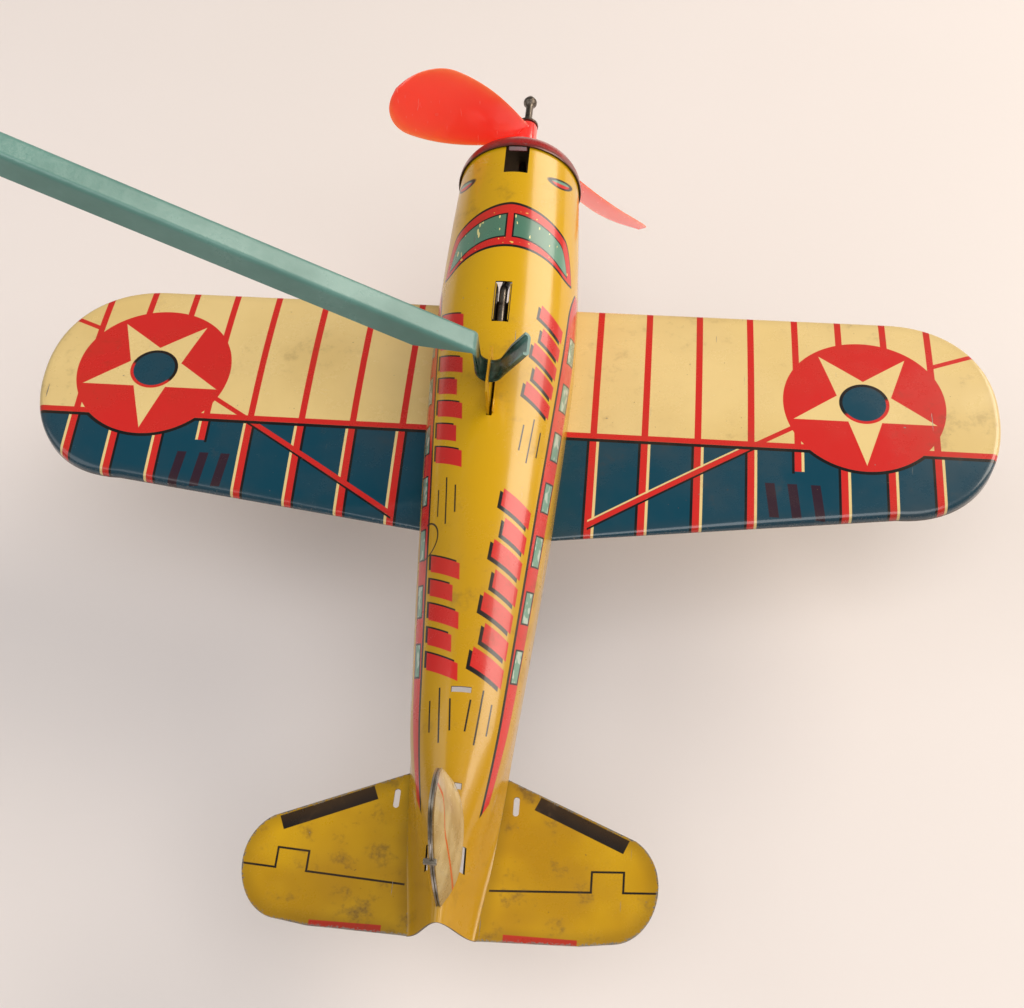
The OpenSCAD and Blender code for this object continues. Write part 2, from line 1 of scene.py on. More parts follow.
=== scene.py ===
"""Looks of a pressed-tin toy monoplane that hangs by an eye from the hook of a carousel arm.

Shapes are worked out in the airplane's own millimetres: X = 0 is its centre plane, Y = 0 the
hanger eye and Z = 0 lies near the wing. at_row() turns them into the row frame's metres.
"""

import json
import math

import bpy
import numpy as np
from mathutils import Matrix, Vector
from mathutils.geometry import delaunay_2d_cdt


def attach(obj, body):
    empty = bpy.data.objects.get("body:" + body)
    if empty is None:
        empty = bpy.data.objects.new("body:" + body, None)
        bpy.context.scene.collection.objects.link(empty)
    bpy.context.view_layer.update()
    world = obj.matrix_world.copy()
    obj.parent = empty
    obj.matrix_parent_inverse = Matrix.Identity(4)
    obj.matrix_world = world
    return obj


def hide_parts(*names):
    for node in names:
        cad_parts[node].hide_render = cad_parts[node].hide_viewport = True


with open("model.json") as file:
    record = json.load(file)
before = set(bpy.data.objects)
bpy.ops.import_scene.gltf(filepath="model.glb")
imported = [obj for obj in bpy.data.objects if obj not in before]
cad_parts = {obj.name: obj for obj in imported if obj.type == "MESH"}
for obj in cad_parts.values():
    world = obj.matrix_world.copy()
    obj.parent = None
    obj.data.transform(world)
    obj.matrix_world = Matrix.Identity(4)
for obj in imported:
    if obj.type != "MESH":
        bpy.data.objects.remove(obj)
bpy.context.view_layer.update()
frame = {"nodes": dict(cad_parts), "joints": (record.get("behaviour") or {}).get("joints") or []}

# The propeller's joint lies on the centre plane, at the height of the shaft
SHAFT_Z = 10.685
spin = next(j for j in frame["joints"] if j["name"] == "propeller_spin")
ORIGIN = np.array([spin["pos_m"][0], 0.0, spin["pos_m"][2] - SHAFT_Z / 1000])
SHEET = 0.35


def at_row(points):
    return np.asarray(points, float) / 1000 + ORIGIN


# --- Small helpers ---


def mix(a, b, t):
    return a + (b - a) * t


def ease(t):
    t = np.clip(t, 0, 1)
    return t * t * (3 - 2 * t)


def halve(low, high, is_before):
    """The place between low and high where is_before stops being true."""
    for _ in range(30):
        middle = (low + high) / 2
        if is_before(middle):
            low = middle
        else:
            high = middle
    return (low + high) / 2


def grid_faces(rows, cols, turned=False):
    """Quads of a grid of points kept row by row, facing the other way if turned."""
    k, i = np.meshgrid(np.arange(rows - 1), np.arange(cols - 1), indexing="ij")
    a = (k * cols + i).ravel()
    quads = np.stack([a, a + 1, a + cols + 1, a + cols], axis=1)
    return (quads[:, ::-1] if turned else quads).tolist()


def ring_faces(rings, sides, closed=False):
    """Quads between rings of points. The last ring joins the first if closed; otherwise the two
    ends are capped."""
    faces = []
    for k in range(rings if closed else rings - 1):
        a, b = k * sides, (k + 1) % rings * sides
        faces += [[a + i, a + (i + 1) % sides, b + (i + 1) % sides, b + i] for i in range(sides)]
    if not closed:
        last = list(range((rings - 1) * sides, rings * sides))
        faces += [last, list(reversed(range(sides)))]
    return faces


def point_normals(points, faces):
    """Averaged face normals at the points."""
    normals = np.zeros_like(points)
    for face in faces:
        p = points[face]
        n = np.cross(p[2] - p[0], p[-1] - p[1]) if len(face) == 4 else np.cross(p[1] - p[0], p[2] - p[0])
        normals[face] += n
    length = np.linalg.norm(normals, axis=1, keepdims=True)
    return normals / np.maximum(length, 1e-12)


def thicken(points, faces, depth, normals=None):
    """A sheet's outer face made into a closed shell; also gives each face's part: 0 outside,
    1 inside, 2 cut edge."""
    if normals is None:
        normals = point_normals(points, faces)
    n = len(points)
    both = np.concatenate([points, points - depth * normals])
    edges = set()
    for face in faces:
        edges.update(zip(face, face[1:] + face[:1]))
    rim = [[b, a, a + n, b + n] for a, b in sorted(edges) if (b, a) not in edges]
    inside = [[i + n for i in reversed(face)] for face in faces]
    parts = [0] * len(faces) + [1] * len(inside) + [2] * len(rim)
    return both, faces + inside + rim, parts


def add_piece(name, points, faces, materials, parts=None, data=None, angle=35, body="airplane"):
    """A mesh object in the row frame that rides on a CAD body."""
    mesh = bpy.data.meshes.new(name)
    mesh.from_pydata(at_row(points).tolist(), [], faces)
    if data is not None:
        attribute = mesh.attributes.new("print_mm", "FLOAT_VECTOR", "POINT")
        attribute.data.foreach_set("vector", np.asarray(data, np.float32).ravel())
    for material in materials:
        mesh.materials.append(material)
    if parts is not None:
        mesh.polygons.foreach_set("material_index", parts)
    mesh.polygons.foreach_set("use_smooth", [True] * len(mesh.polygons))
    mesh.validate()
    mesh.update()
    mesh.set_sharp_from_angle(angle=math.radians(angle))
    piece = bpy.data.objects.new(name, mesh)
    bpy.context.scene.collection.objects.link(piece)
    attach(piece, body)
    return piece


def join(shapes):
    """Several (points, faces) shapes as one."""
    points, faces, start = [], [], 0
    for p, f in shapes:
        points.append(np.asarray(p, float))
        faces += [[i + start for i in face] for face in f]
        start += len(p)
    return np.concatenate(points), faces


def revolve(outline, steps=96):
    """A closed outline of (radius, y) turned about the shaft line."""
    points = []
    for k in range(steps):
        a = 2 * math.pi * k / steps
        points += [[r * math.sin(a), y, SHAFT_Z + r * math.cos(a)] for r, y in outline]
    return np.array(points), ring_faces(steps, len(outline), closed=True)


def sweep(path, radius, sides=20):
    """Round wire along (y, z) points in the centre plane; radius may change along it."""
    path = np.asarray(path, float)
    tangent = np.gradient(path, axis=0)
    tangent /= np.linalg.norm(tangent, axis=1, keepdims=True)
    radius = np.broadcast_to(radius, len(path))
    points = []
    for (y, z), (ty, tz), r in zip(path, tangent, radius):
        for i in range(sides):
            a = 2 * math.pi * i / sides
            points.append([r * math.cos(a), y - tz * r * math.sin(a), z + ty * r * math.sin(a)])
    return np.array(points), ring_faces(len(path), sides)


def rounded(a, b, c, r, steps=10):
    """Points of a bend of radius r at b, between a and c."""
    a, b, c = (np.array(p, float) for p in (a, b, c))
    u = (a - b) / np.linalg.norm(a - b)
    v = (c - b) / np.linalg.norm(c - b)
    half = math.acos(float(u @ v)) / 2
    centre = b + (u + v) / np.linalg.norm(u + v) * r / math.sin(half)
    start = b + u * r / math.tan(half) - centre
    turn = math.pi - 2 * half
    if u[0] * v[1] - u[1] * v[0] > 0:
        turn = -turn
    out = []
    for k in range(steps + 1):
        ca, sa = math.cos(turn * k / steps), math.sin(turn * k / steps)
        out.append(centre + [start[0] * ca - start[1] * sa, start[0] * sa + start[1] * ca])
    return out


def bevelled_box(low, high, r=0.08):
    """A small folded tab: a box whose edges are broken by r."""
    low, high = np.array(low, float), np.array(high, float)
    r = min(r, *(0.45 * (high - low)))
    points, index = [], {}
    for corner in np.ndindex(2, 2, 2):
        for axis in range(3):
            p = [low[i] + r if corner[i] == 0 else high[i] - r for i in range(3)]
            p[axis] = low[axis] if corner[axis] == 0 else high[axis]
            index[corner, axis] = len(points)
            points.append(p)
    centre = (low + high) / 2
    rings = []
    for axis in range(3):
        for side in (0, 1):
            corners = [tuple(np.insert(bc, axis, side)) for bc in ((0, 0), (0, 1), (1, 1), (1, 0))]
            rings.append([index[corner, axis] for corner in corners])
        b, c = [i for i in range(3) if i != axis]
        for bc in np.ndindex(2, 2):
            start, end = (tuple(np.insert(bc, axis, side)) for side in (0, 1))
            rings.append([index[start, b], index[start, c], index[end, c], index[end, b]])
    rings += [[index[corner, axis] for axis in range(3)] for corner in np.ndindex(2, 2, 2)]
    points = np.array(points)
    faces = []
    for ring in rings:
        p = points[ring]
        n = np.cross(p[1] - p[0], p[2] - p[0])
        faces.append(ring if n @ (p.mean(0) - centre) > 0 else ring[::-1])
    return points, faces


# --- Material building ---


def rgb(r, g, b):
    """A colour given in display values from 0 to 255, as the shader's linear colour."""
    linear = [((c / 255 + 0.055) / 1.055) ** 2.4 if c > 10 else c / 255 / 12.92 for c in (r, g, b)]
    return (*linear, 1.0)


class Field:
    """A number that varies over a surface, with the usual arithmetic done by shader nodes."""

    def __init__(self, paint, socket):
        self.paint = paint
        self.socket = socket

    def __neg__(self):
        return self * -1.0

    def __abs__(self):
        return self.paint.calc("ABSOLUTE", self)


def field_operator(kind, swapped=False):
    """A Field method that does one shader operation with another field or a number."""
    def method(field, other):
        values = (other, field) if swapped else (field, other)
        return field.paint.calc(kind, *values)
    return method


Field.__add__ = Field.__radd__ = field_operator("ADD")
Field.__mul__ = Field.__rmul__ = field_operator("MULTIPLY")
Field.__sub__ = field_operator("SUBTRACT")
Field.__rsub__ = field_operator("SUBTRACT", swapped=True)
Field.__truediv__ = field_operator("DIVIDE")
Field.__pow__ = field_operator("POWER")


class Paint:
    """One node material around a Principled shader; colour is what has been laid on so far."""

    def __init__(self, name, roughness=0.3, **sockets):
        self.material = bpy.data.materials.new(name)
        self.material.use_nodes = True
        self.tree = self.material.node_tree
        self.tree.nodes.clear()
        self.shader = self.tree.nodes.new("ShaderNodeBsdfPrincipled")
        output = self.tree.nodes.new("ShaderNodeOutputMaterial")
        self.tree.links.new(self.shader.outputs[0], output.inputs[0])
        self.set(Roughness=roughness, **sockets)
        self.coordinates = self.tree.nodes.new("ShaderNodeTexCoord").outputs["Object"]
        self.colour = None

    def put(self, socket, value):
        if isinstance(value, Field):
            value = value.socket
        if isinstance(value, bpy.types.NodeSocket):
            self.tree.links.new(value, socket)
        else:
            socket.default_value = value

    def set(self, **sockets):
        """Puts values into the shader's sockets, named with _ for a blank."""
        for key, value in sockets.items():
            self.put(self.shader.inputs[key.replace("_", " ")], value)

    def calc(self, kind, *values):
        node = self.tree.nodes.new("ShaderNodeMath")
        node.operation = kind
        for socket, value in zip(node.inputs, values):
            self.put(socket, value)
        return Field(self, node.outputs[0])

    def low(self, first, *others):
        for other in others:
            first = self.calc("MINIMUM", first, other)
        return first

    def high(self, first, *others):
        for other in others:
            first = self.calc("MAXIMUM", first, other)
        return first

    def inside(self, distance, soft=0.05):
        """1 where the signed distance is negative and 0 where it is positive."""
        share = self.calc("MULTIPLY_ADD", distance, -0.5 / soft, 0.5)
        share.socket.node.use_clamp = True
        return share

    def ramp(self, value, start, end, low=0.0, high=1.0):
        """Goes smoothly from low to high as value goes from start to end."""
        node = self.tree.nodes.new("ShaderNodeMapRange")
        node.interpolation_type = "SMOOTHSTEP"
        self.put(node.inputs[0], value)
        for k, number in enumerate((start, end, low, high)):
            node.inputs[k + 1].default_value = number
        return Field(self, node.outputs[0])

    def blend(self, share, a, b):
        node = self.tree.nodes.new("ShaderNodeMix")
        node.data_type = "RGBA"
        self.put(node.inputs[0], share)
        self.put(node.inputs[6], a)
        self.put(node.inputs[7], b)
        return node.outputs[2]

    def tint(self, share, colour):
        """Lays a colour on, where share goes from 0 for none to 1 for all."""
        self.colour = self.blend(share, self.colour, colour)

    def draw(self, distance, colour, soft=0.05):
        """Lays a colour on where the signed distance is negative."""
        self.tint(self.inside(distance, soft), colour)

    def cloudy(self, field, first, second, start=0.3, end=0.7):
        """Starts with a colour that goes from the first to the second with a field."""
        self.colour = self.blend(self.ramp(field, start, end), first, second)

    def scaled(self, factor, shift):
        """The object's coordinates times a factor and plus a shift, each by axis."""
        node = self.tree.nodes.new("ShaderNodeVectorMath")
        node.operation = "MULTIPLY_ADD"
        self.put(node.inputs[0], self.coordinates)
        node.inputs[1].default_value = tuple(factor)
        node.inputs[2].default_value = tuple(shift)
        return node.outputs[0]

    def plane_mm(self):
        """X, Y and Z in the airplane's millimetres."""
        return self.split(self.scaled((1000.0, 1000.0, 1000.0), -1000 * ORIGIN))

    def print_mm(self):
        """The three numbers that a printed sheet's points carry."""
        node = self.tree.nodes.new("ShaderNodeAttribute")
        node.attribute_name = "print_mm"
        return self.split(node.outputs["Vector"])

    def split(self, vector):
        node = self.tree.nodes.new("ShaderNodeSeparateXYZ")
        self.put(node.inputs[0], vector)
        return [Field(self, socket) for socket in node.outputs]

    def noise(self, per_mm, detail=3.0, rough=0.55, stretch=(1, 1, 1), seed=0.0):
        """Cloudy variation from 0 to 1, with about per_mm clouds to the millimetre."""
        node = self.tree.nodes.new("ShaderNodeTexNoise")
        vector = self.scaled([1000 * per_mm * s for s in stretch], (seed, 1.7 * seed, 0.3 * seed))
        self.put(node.inputs["Vector"], vector)
        node.inputs["Scale"].default_value = 1.0
        node.inputs["Detail"].default_value = detail
        node.inputs["Roughness"].default_value = rough
        return Field(self, node.outputs[0])

    def finish(self, roughness, bumps, **more):
        """Connects the finished colour; bumps are (height field, depth in mm) pairs."""
        self.set(Base_Color=self.colour, Roughness=roughness, **more)
        last = None
        for height, depth in bumps:
            node = self.tree.nodes.new("ShaderNodeBump")
            node.inputs["Strength"].default_value = 1.0
            node.inputs["Distance"].default_value = depth / 1000
            self.put(node.inputs["Height"], height)
            if last is not None:
                self.tree.links.new(last, node.inputs["Normal"])
            last = node.outputs[0]
        self.tree.links.new(last, self.shader.inputs["Normal"])
        return self.material


# --- The airplane's shape ---

NOSE_Y = 58.2
TAIL_Y = -95.7
TAIL_Z = -2.94
TAIL_ROOT_Y = -68.0
WIDEST_Y = 15.0
ROOF_PART = 0.62
RIM_Z = -2.77


def ridge_at(y):
    return 16.5 + 0.114 * y


def half_width_at(y):
    ahead = mix(14.0, 12.25, (np.maximum(y - WIDEST_Y, 0) / 43.2) ** 2)
    behind = 14.0 - 5.6 * (np.maximum(WIDEST_Y - y, 0) / 83.0) ** 1.3
    return np.where(y > WIDEST_Y, ahead, behind)


def half_section(u, y):
    """X and Z of the skin, from the ridge (u = 0) to the lower edge (u = 1)."""
    w, ridge = half_width_at(y), ridge_at(y)
    tail = ease((-60 - y) / 35.7)
    nose = ease((y - 38) / 12)
    root = mix(8.9, 5.6, np.clip((TAIL_ROOT_Y - y) / 27.7, 0, 1))
    a = np.radians(90 * (1 - u / ROOF_PART))
    t = (u - ROOF_PART) / (1 - ROOF_PART)
    curl = np.radians(55 * t)
    side_x = mix(w, w * np.cos(curl), nose)
    side_z = mix(mix(ridge - w, mix(-2.4, TAIL_Z, tail), t), ridge - w - w * np.sin(curl), nose)
    x = np.where(u < ROOF_PART, w * np.cos(a), side_x)
    z = np.where(u < ROOF_PART, ridge - w + w * np.sin(a), side_z)
    bell_z = TAIL_Z + (ridge - TAIL_Z) * (1 + np.cos(np.pi * u)) / 2
    return mix(x, root * u, tail), mix(z, bell_z, tail)


def skin_u(x, y):
    """The u at which the skin is x away from the centre plane, found by halving."""
    return halve(0.0, 0.8, lambda u: half_section(u, y)[0] < x)


def skin_z(x, y):
    return float(half_section(skin_u(x, y), y)[1])


def wing_top_at(y):
    return 0.45 - np.where(y > 13, 1.5, 1.2) * ((y - 13) / 22) ** 2


# Where the body's lower edge steps up over the wing's front and rear edges
WING_CUT_Y = (35.745, -21.945)
WING_CUT_ROWS = [y + step for y in WING_CUT_Y for step in (0.005, -0.005)]
BODY_STEP_X = [0, 0.15, 0.3, 0.5, 0.7, 1.0, 1.35, 1.6, 1.7, 2.0, 2.25, 2.4, 2.8, 3.25]
BODY_CUTS = [
    # Lowest and highest X, lowest and highest Y of each opening in the roof
    (-2.4, 2.4, 50.6, 60), (-1.35, 1.35, 14.9, 24.1), (-1.6, 1.6, 14.9, 15.4),
    (-1.6, 1.6, 23.6, 24.1), (-0.7, 0.3, -5.6, 5.4), (-1.7, 1.7, -58.5, -57.5),
    (-1.7, 1.7, -74.7, -73.7), (2.25, 3.25, -87.1, -83.2), (-3.25, -2.25, -87.1, -83.2),
]


def body_rows():
    """Y of the skin's cross-sections, from the nose back, with one at the edges of each opening."""
    fixed = {y for cut in BODY_CUTS for y in cut[2:] if y < NOSE_Y} | {*WING_CUT_ROWS, TAIL_Y}
    rows = sorted({*np.linspace(NOSE_Y, TAIL_Y, 130), 51.2, *fixed}, reverse=True)
    kept = [rows[0]]
    for y in rows[1:]:
        if y in fixed or kept[-1] - y > 0.25:
            kept.append(y)
    return kept


def lower_u(y):
    """u of the lower edge, which ends just over the wing where the wing passes under the body."""
    if not WING_CUT_Y[1] < y < WING_CUT_Y[0]:
        return 0.996
    seat = float(wing_top_at(y)) + 0.04
    return halve(ROOF_PART, 1.0, lambda u: half_section(u, y)[1] > seat)


def body_skin():
    """Points, faces and print coordinates of the fuselage's outer face."""
    sides = 46
    rows = body_rows()
    points, data, centres = [], [], []
    for y in rows:
        u = [0.0] + [skin_u(x, y) for x in BODY_STEP_X[1:]]
        u += list(np.linspace(u[-1], lower_u(y), sides + 1)[1:])
        u = np.array(u)
        x, z = half_section(u, y)
        fine = np.linspace(0, 1, 400)
        fx, fz = half_section(fine, y)
        arc = np.concatenate([[0], np.cumsum(np.hypot(np.diff(fx), np.diff(fz)))])
        girth = np.interp(u, fine, arc)
        v = np.concatenate([-u[:0:-1], u])
        x = np.concatenate([-x[:0:-1], x])
        z = np.concatenate([z[:0:-1], z])
        girth = np.concatenate([-girth[:0:-1], girth])
        points.append(np.stack([x, np.full_like(x, y), z], 1))
        data.append(np.stack([girth, np.full_like(x, y), v], 1))
    cols = len(points[0])
    points, data = np.concatenate(points), np.concatenate(data)
    faces = []
    for face in grid_faces(len(rows), cols, turned=True):
        x, y = points[face][:, 0].mean(), points[face][:, 1].mean()
        if not any(a < x < b and c < y < d for a, b, c, d in BODY_CUTS):
            faces.append(face)
    return points, faces, point_normals(points, faces), data


WING_SHIFT = 1.7
WING_HALF = 95.25
WING_ROUND_X = WING_HALF - 20.8
WING_TIP_Y = 12.25
WING_FRONT_Y = 35.5
WING_REAR_Y = -21.7


def wing_outline(n_flat=70, n_round=44):
    """(x, front y, rear y) of the right half, counted from the wing's own middle."""
    out = []
    rear_end = WING_REAR_Y + 0.137 * WING_ROUND_X
    for x in np.linspace(0, WING_ROUND_X, n_flat):
        out.append((x, WING_FRONT_Y, mix(WING_REAR_Y, rear_end, x / WING_ROUND_X)))
    for a in np.radians(np.linspace(90, 1.5, n_round)[1:]):
        c, s = math.cos(a) ** (2 / 2.2), math.sin(a) ** (2 / 2.2)
        x = mix(WING_ROUND_X, WING_HALF, c)
        out.append((x, mix(WING_TIP_Y, WING_FRONT_Y, s), mix(WING_TIP_Y, rear_end, s)))
    return out


def edge_distance(points, outline):
    """Distance of (x, y) points from a closed outline."""
    a = np.asarray(outline, float)
    b = np.roll(a, -1, axis=0)
    d = b - a
    best = np.full(len(points), 1e9)
    for start, step in zip(a, d):
        t = np.clip(((points - start) @ step) / max(float(step @ step), 1e-12), 0, 1)
        best = np.minimum(best, np.linalg.norm(points - start - t[:, None] * step, axis=1))
    return best


def wing_skin():
    """Top face of the wing with its rolled edge and the rim under it."""
    half = wing_outline()
    columns = [(-x, f, r) for x, f, r in half[:0:-1]] + half
    columns = [(x + WING_SHIFT, f, r) for x, f, r in columns]
    across = 64
    share = 0.5 - 0.5 * np.cos(np.linspace(0, np.pi, across))
    flat = np.array([[x, mix(r, f, t)] for x, f, r in columns for t in share])
    outline = [(x, f) for x, f, r in columns] + [(x, r) for x, f, r in columns[::-1]]
    edge = edge_distance(flat, outline)
    top = wing_top_at(flat[:, 1])
    radius = np.clip(0.85 * (top - RIM_Z), 0.15, 1.15)
    inset = np.clip(radius - edge, 0, radius)
    drop = radius - np.sqrt(radius ** 2 - inset ** 2)
    points = np.column_stack([flat, top - drop])
    faces = grid_faces(len(columns), across, turned=True)
    n = len(columns)
    index = np.arange(n * across).reshape(n, across)
    ring = [*index[:, 0].tolist(), *index[-1, 1:].tolist()]
    ring += [*index[-2::-1, -1].tolist(), *index[0, -2:0:-1].tolist()]
    first = len(points)
    low = points[ring].copy()
    low[:, 2] = RIM_Z
    points = np.concatenate([points, low])
    edge = np.concatenate([edge, np.full(len(ring), -0.5)])
    for k, a in enumerate(ring):
        b = ring[(k + 1) % len(ring)]
        faces.append([first + k, first + (k + 1) % len(ring), b, a])
    return points, faces, point_normals(points, faces), np.column_stack([edge, points[:, :2]])


def tail_outline():
    """Right half of the tailplane: along the body's lower edge and round the tip."""
    inner = [(float(half_section(1.0, y)[0]) - 0.45, y)
             for y in np.linspace(TAIL_Y + 0.05, TAIL_ROOT_Y, 24)]
    tip = []
    for a in np.radians(np.linspace(62, -82, 40)):
        reach = 8.6 if a > 0 else 9.6
        tip.append((26.7 + 7.5 * math.cos(a), -84.9 + reach * math.sin(a)))
    return inner + tip + [(22, -95.2)]


def inside_outline(x, y, outline):
    hit = False
    for (ax, ay), (bx, by) in zip(outline, outline[1:] + outline[:1]):
        if (ay > y) != (by > y) and x < (bx - ax) * (y - ay) / (by - ay) + ax:
            hit = not hit
    return hit


def tail_plate(side):
    """Flat plate of one half of the tailplane with its slot."""
    outline = tail_outline()
    slot = [(9.6 + 0.5 - 0.5 * math.cos(a), (-71.6 if math.sin(a) > 0 else -74.0) + 0.5 * math.sin(a))
            for a in np.linspace(0.01, 2 * math.pi - 0.3, 20)]

    def in_plate(x, y):
        return inside_outline(x, y, outline) and not inside_outline(x, y, slot)
    grid = np.array([(x, y) for x in np.arange(8, 34, 1.6) for y in np.arange(-95, -68, 1.6)])
    clear = (edge_distance(grid, outline) > 0.7) & (edge_distance(grid, slot) > 0.5)
    inner = [(x, y) for x, y in grid[clear] if in_plate(x, y)]
    flat = [Vector(p) for p in outline + slot + inner]
    n, m = len(outline), len(slot)
    edges = [(i, (i + 1) % n) for i in range(n)] + [(n + i, n + (i + 1) % m) for i in range(m)]
    points, _, faces, *_ = delaunay_2d_cdt(flat, edges, [], 0, 1e-5)
    kept = []
    for face in faces:
        cx = sum(points[i].x for i in face) / 3
        cy = sum(points[i].y for i in face) / 3
        if in_plate(cx, cy):
            kept.append(list(face)[::side])
    points = np.array([[side * p.x, p.y, TAIL_Z + 0.03] for p in points])
    up = np.tile([0.0, 0.0, 1.0], (len(points), 1))
    edge = edge_distance(points[:, :2], [(side * x, y) for x, y in outline])
    return points, kept, up, np.column_stack([edge, points[:, :2]])


FIN_FOOT_Y = (-73.4, -93.4)
FIN_MID_Y = -85.6
FIN_TOP_Z = 31.0
FIN_SPREAD = 2.75
FIN_EDGE = 0.34
FIN_SHEET = 0.3


def fin_top(s):
    """Upper edge as (y, z), from the front fold's upper end (s = 0) to the rear foot (s = 1)."""
    if s < 0.4:
        a = math.radians(mix(15, 90, s / 0.4))
        return FIN_MID_Y + 7.7 * math.cos(a), FIN_TOP_Z - 9.5 * (1 - math.sin(a))
    a = math.radians(mix(90, 180, (s - 0.4) / 0.6))
    low = skin_z(0, FIN_FOOT_Y[1]) + 0.8
    return FIN_MID_Y + (FIN_MID_Y - FIN_FOOT_Y[1]) * math.cos(a), low + (FIN_TOP_Z - low) * math.sin(a)


def fin_skin():
    """Outer face of the folded fin: c goes round the foot and h from the foot to the upper edge."""
    cols, rows = 81, 25
    points, data = [], []
    for h in np.linspace(0, 1, rows):
        for c in np.linspace(1, -1, cols):
            s = abs(c)
            spread = FIN_EDGE + (FIN_SPREAD - FIN_EDGE) * (1 - abs(2 * s - 1) ** 2.6)
            x_foot = 0 if s < 1e-9 else spread
            foot_y = mix(*FIN_FOOT_Y, s)
            foot_z = skin_z(max(x_foot - FIN_SHEET, 0), foot_y) + 0.06
            y, z = fin_top(s)
            x = mix(x_foot, 0 if s < 1e-9 else FIN_EDGE, h)
            points.append([x if c > 0 else -x, mix(foot_y, y, h), mix(foot_z, z, h)])
            data.append([c, h, 0])
    points = np.array(points)
    faces = grid_faces(rows, cols)
    return points, faces, point_normals(points, faces), np.array(data)


def blade(turn):
    """One twisted, scimitar-shaped blade with a round edge."""
    angle = math.radians(131.7 + turn)
    reach, lobe, thick = 30.7, 23.1, 0.9
    radii = np.concatenate([np.linspace(1.2, lobe, 34),
                            lobe + (reach - lobe) * np.sin(np.radians(np.linspace(3, 90, 26)))])
    around = 40
    points = []
    for r in radii:
        t = r / reach
        if r > lobe:
            chord = 16.1 * math.sqrt(max(0.004, 1 - ((r - lobe) / (reach - lobe)) ** 2))
        else:
            chord = mix(5.5, 16.1, math.sin(math.pi / 2 * np.clip((r - 2) / (lobe - 2), 0, 1)))
        pitch = math.radians(mix(41, 35, t ** 4))
        y = mix(73.6, 70.6, t) - 1.95 * 4 * t * (1 - t)
        back = 3.23 * t + 5 * t * t
        along = np.array([0, math.sin(pitch), -math.cos(pitch)])
        out = np.array([0, math.cos(pitch), math.sin(pitch)])
        for k in range(around):
            a = 2 * math.pi * k / around
            c = math.cos(a)
            half = thick / 2 * (1 - 0.55 * c * c) * math.copysign(abs(math.sin(a)) ** 0.7, math.sin(a))
            camber = 0.25 * (1 - c * c) * chord / 16
            p = np.array([r, y, 0]) + (c * chord / 2 - back) * along + (half + camber) * out
            ca, sa = math.cos(angle), math.sin(angle)
            points.append([p[0] * ca - p[2] * sa, p[1], SHAFT_Z + p[0] * sa + p[2] * ca])
    faces = [[face[0], *face[:0:-1]] for face in ring_faces(len(radii), around)]
    return np.array(points), faces


# --- The arm ---

ARM_TILT = math.radians(30.6)
ARM_LENGTH = 100.0
HOOK_X = -2.5
BEND_Z = 29.77
HOOK_R = 2.4
HOOK_LOW_Z = 21.5
TIP_ANGLE = math.radians(54)
ARM_SHEET = 0.6
BORE_FROM_END = 4.2
BORE_DOWN = 2.1
BORE_R = 1.5


def along_arm(s, down):
    return (HOOK_X - s * math.cos(ARM_TILT) - down * math.sin(ARM_TILT),
            BEND_Z + s * math.sin(ARM_TILT) - down * math.cos(ARM_TILT))


def arm_sections():
    """Mid line of the sheet as (x, z), and how far its folded edges reach down (or up, if
    negative) at each of its points."""
    centre = np.array([HOOK_X + HOOK_R, HOOK_LOW_Z + HOOK_R])
    rise = centre + HOOK_R * np.array([math.sin(TIP_ANGLE), -math.cos(TIP_ANGLE)])
    tip = rise + 8.7 * np.array([math.cos(TIP_ANGLE), math.sin(TIP_ANGLE)])
    corner = (HOOK_X, rise[1] - (rise[0] - HOOK_X) * math.tan(TIP_ANGLE))
    line, reach = [], []
    end = [ARM_LENGTH, ARM_LENGTH - 0.5, ARM_LENGTH - 1]
    for s in [*end, *np.linspace(96, 11, 35), *np.linspace(10, 1.4, 14)]:
        line.append(np.array(along_arm(s, 0)))
        taper = 4.3 if s > 10 else mix(0.7, 4.3, (s - 1.2) / 8.8)
        reach.append(taper - (0.5 if s > ARM_LENGTH - 0.4 else 0.0))
    bend = rounded(along_arm(ARM_LENGTH, 0), (HOOK_X, BEND_Z), corner, 1.2, 8)
    line += bend
    reach += list(np.linspace(0.45, 0.1, len(bend)))
    drop = rounded((HOOK_X, BEND_Z), corner, tip, HOOK_R, 18)
    for t in np.linspace(0.1, 0.9, 8):
        line.append(mix(np.array(bend[-1]), np.array(drop[0]), t))
        reach.append(mix(0.05, -0.3, t))
    line += drop
    reach += [-0.32] * len(drop)
    for t in np.linspace(0.06, 1, 14):
        line.append(mix(np.array(drop[-1]), tip, t))
        reach.append(-0.34 - 0.6 * min(1, 2 * t))
    return np.array(line), reach


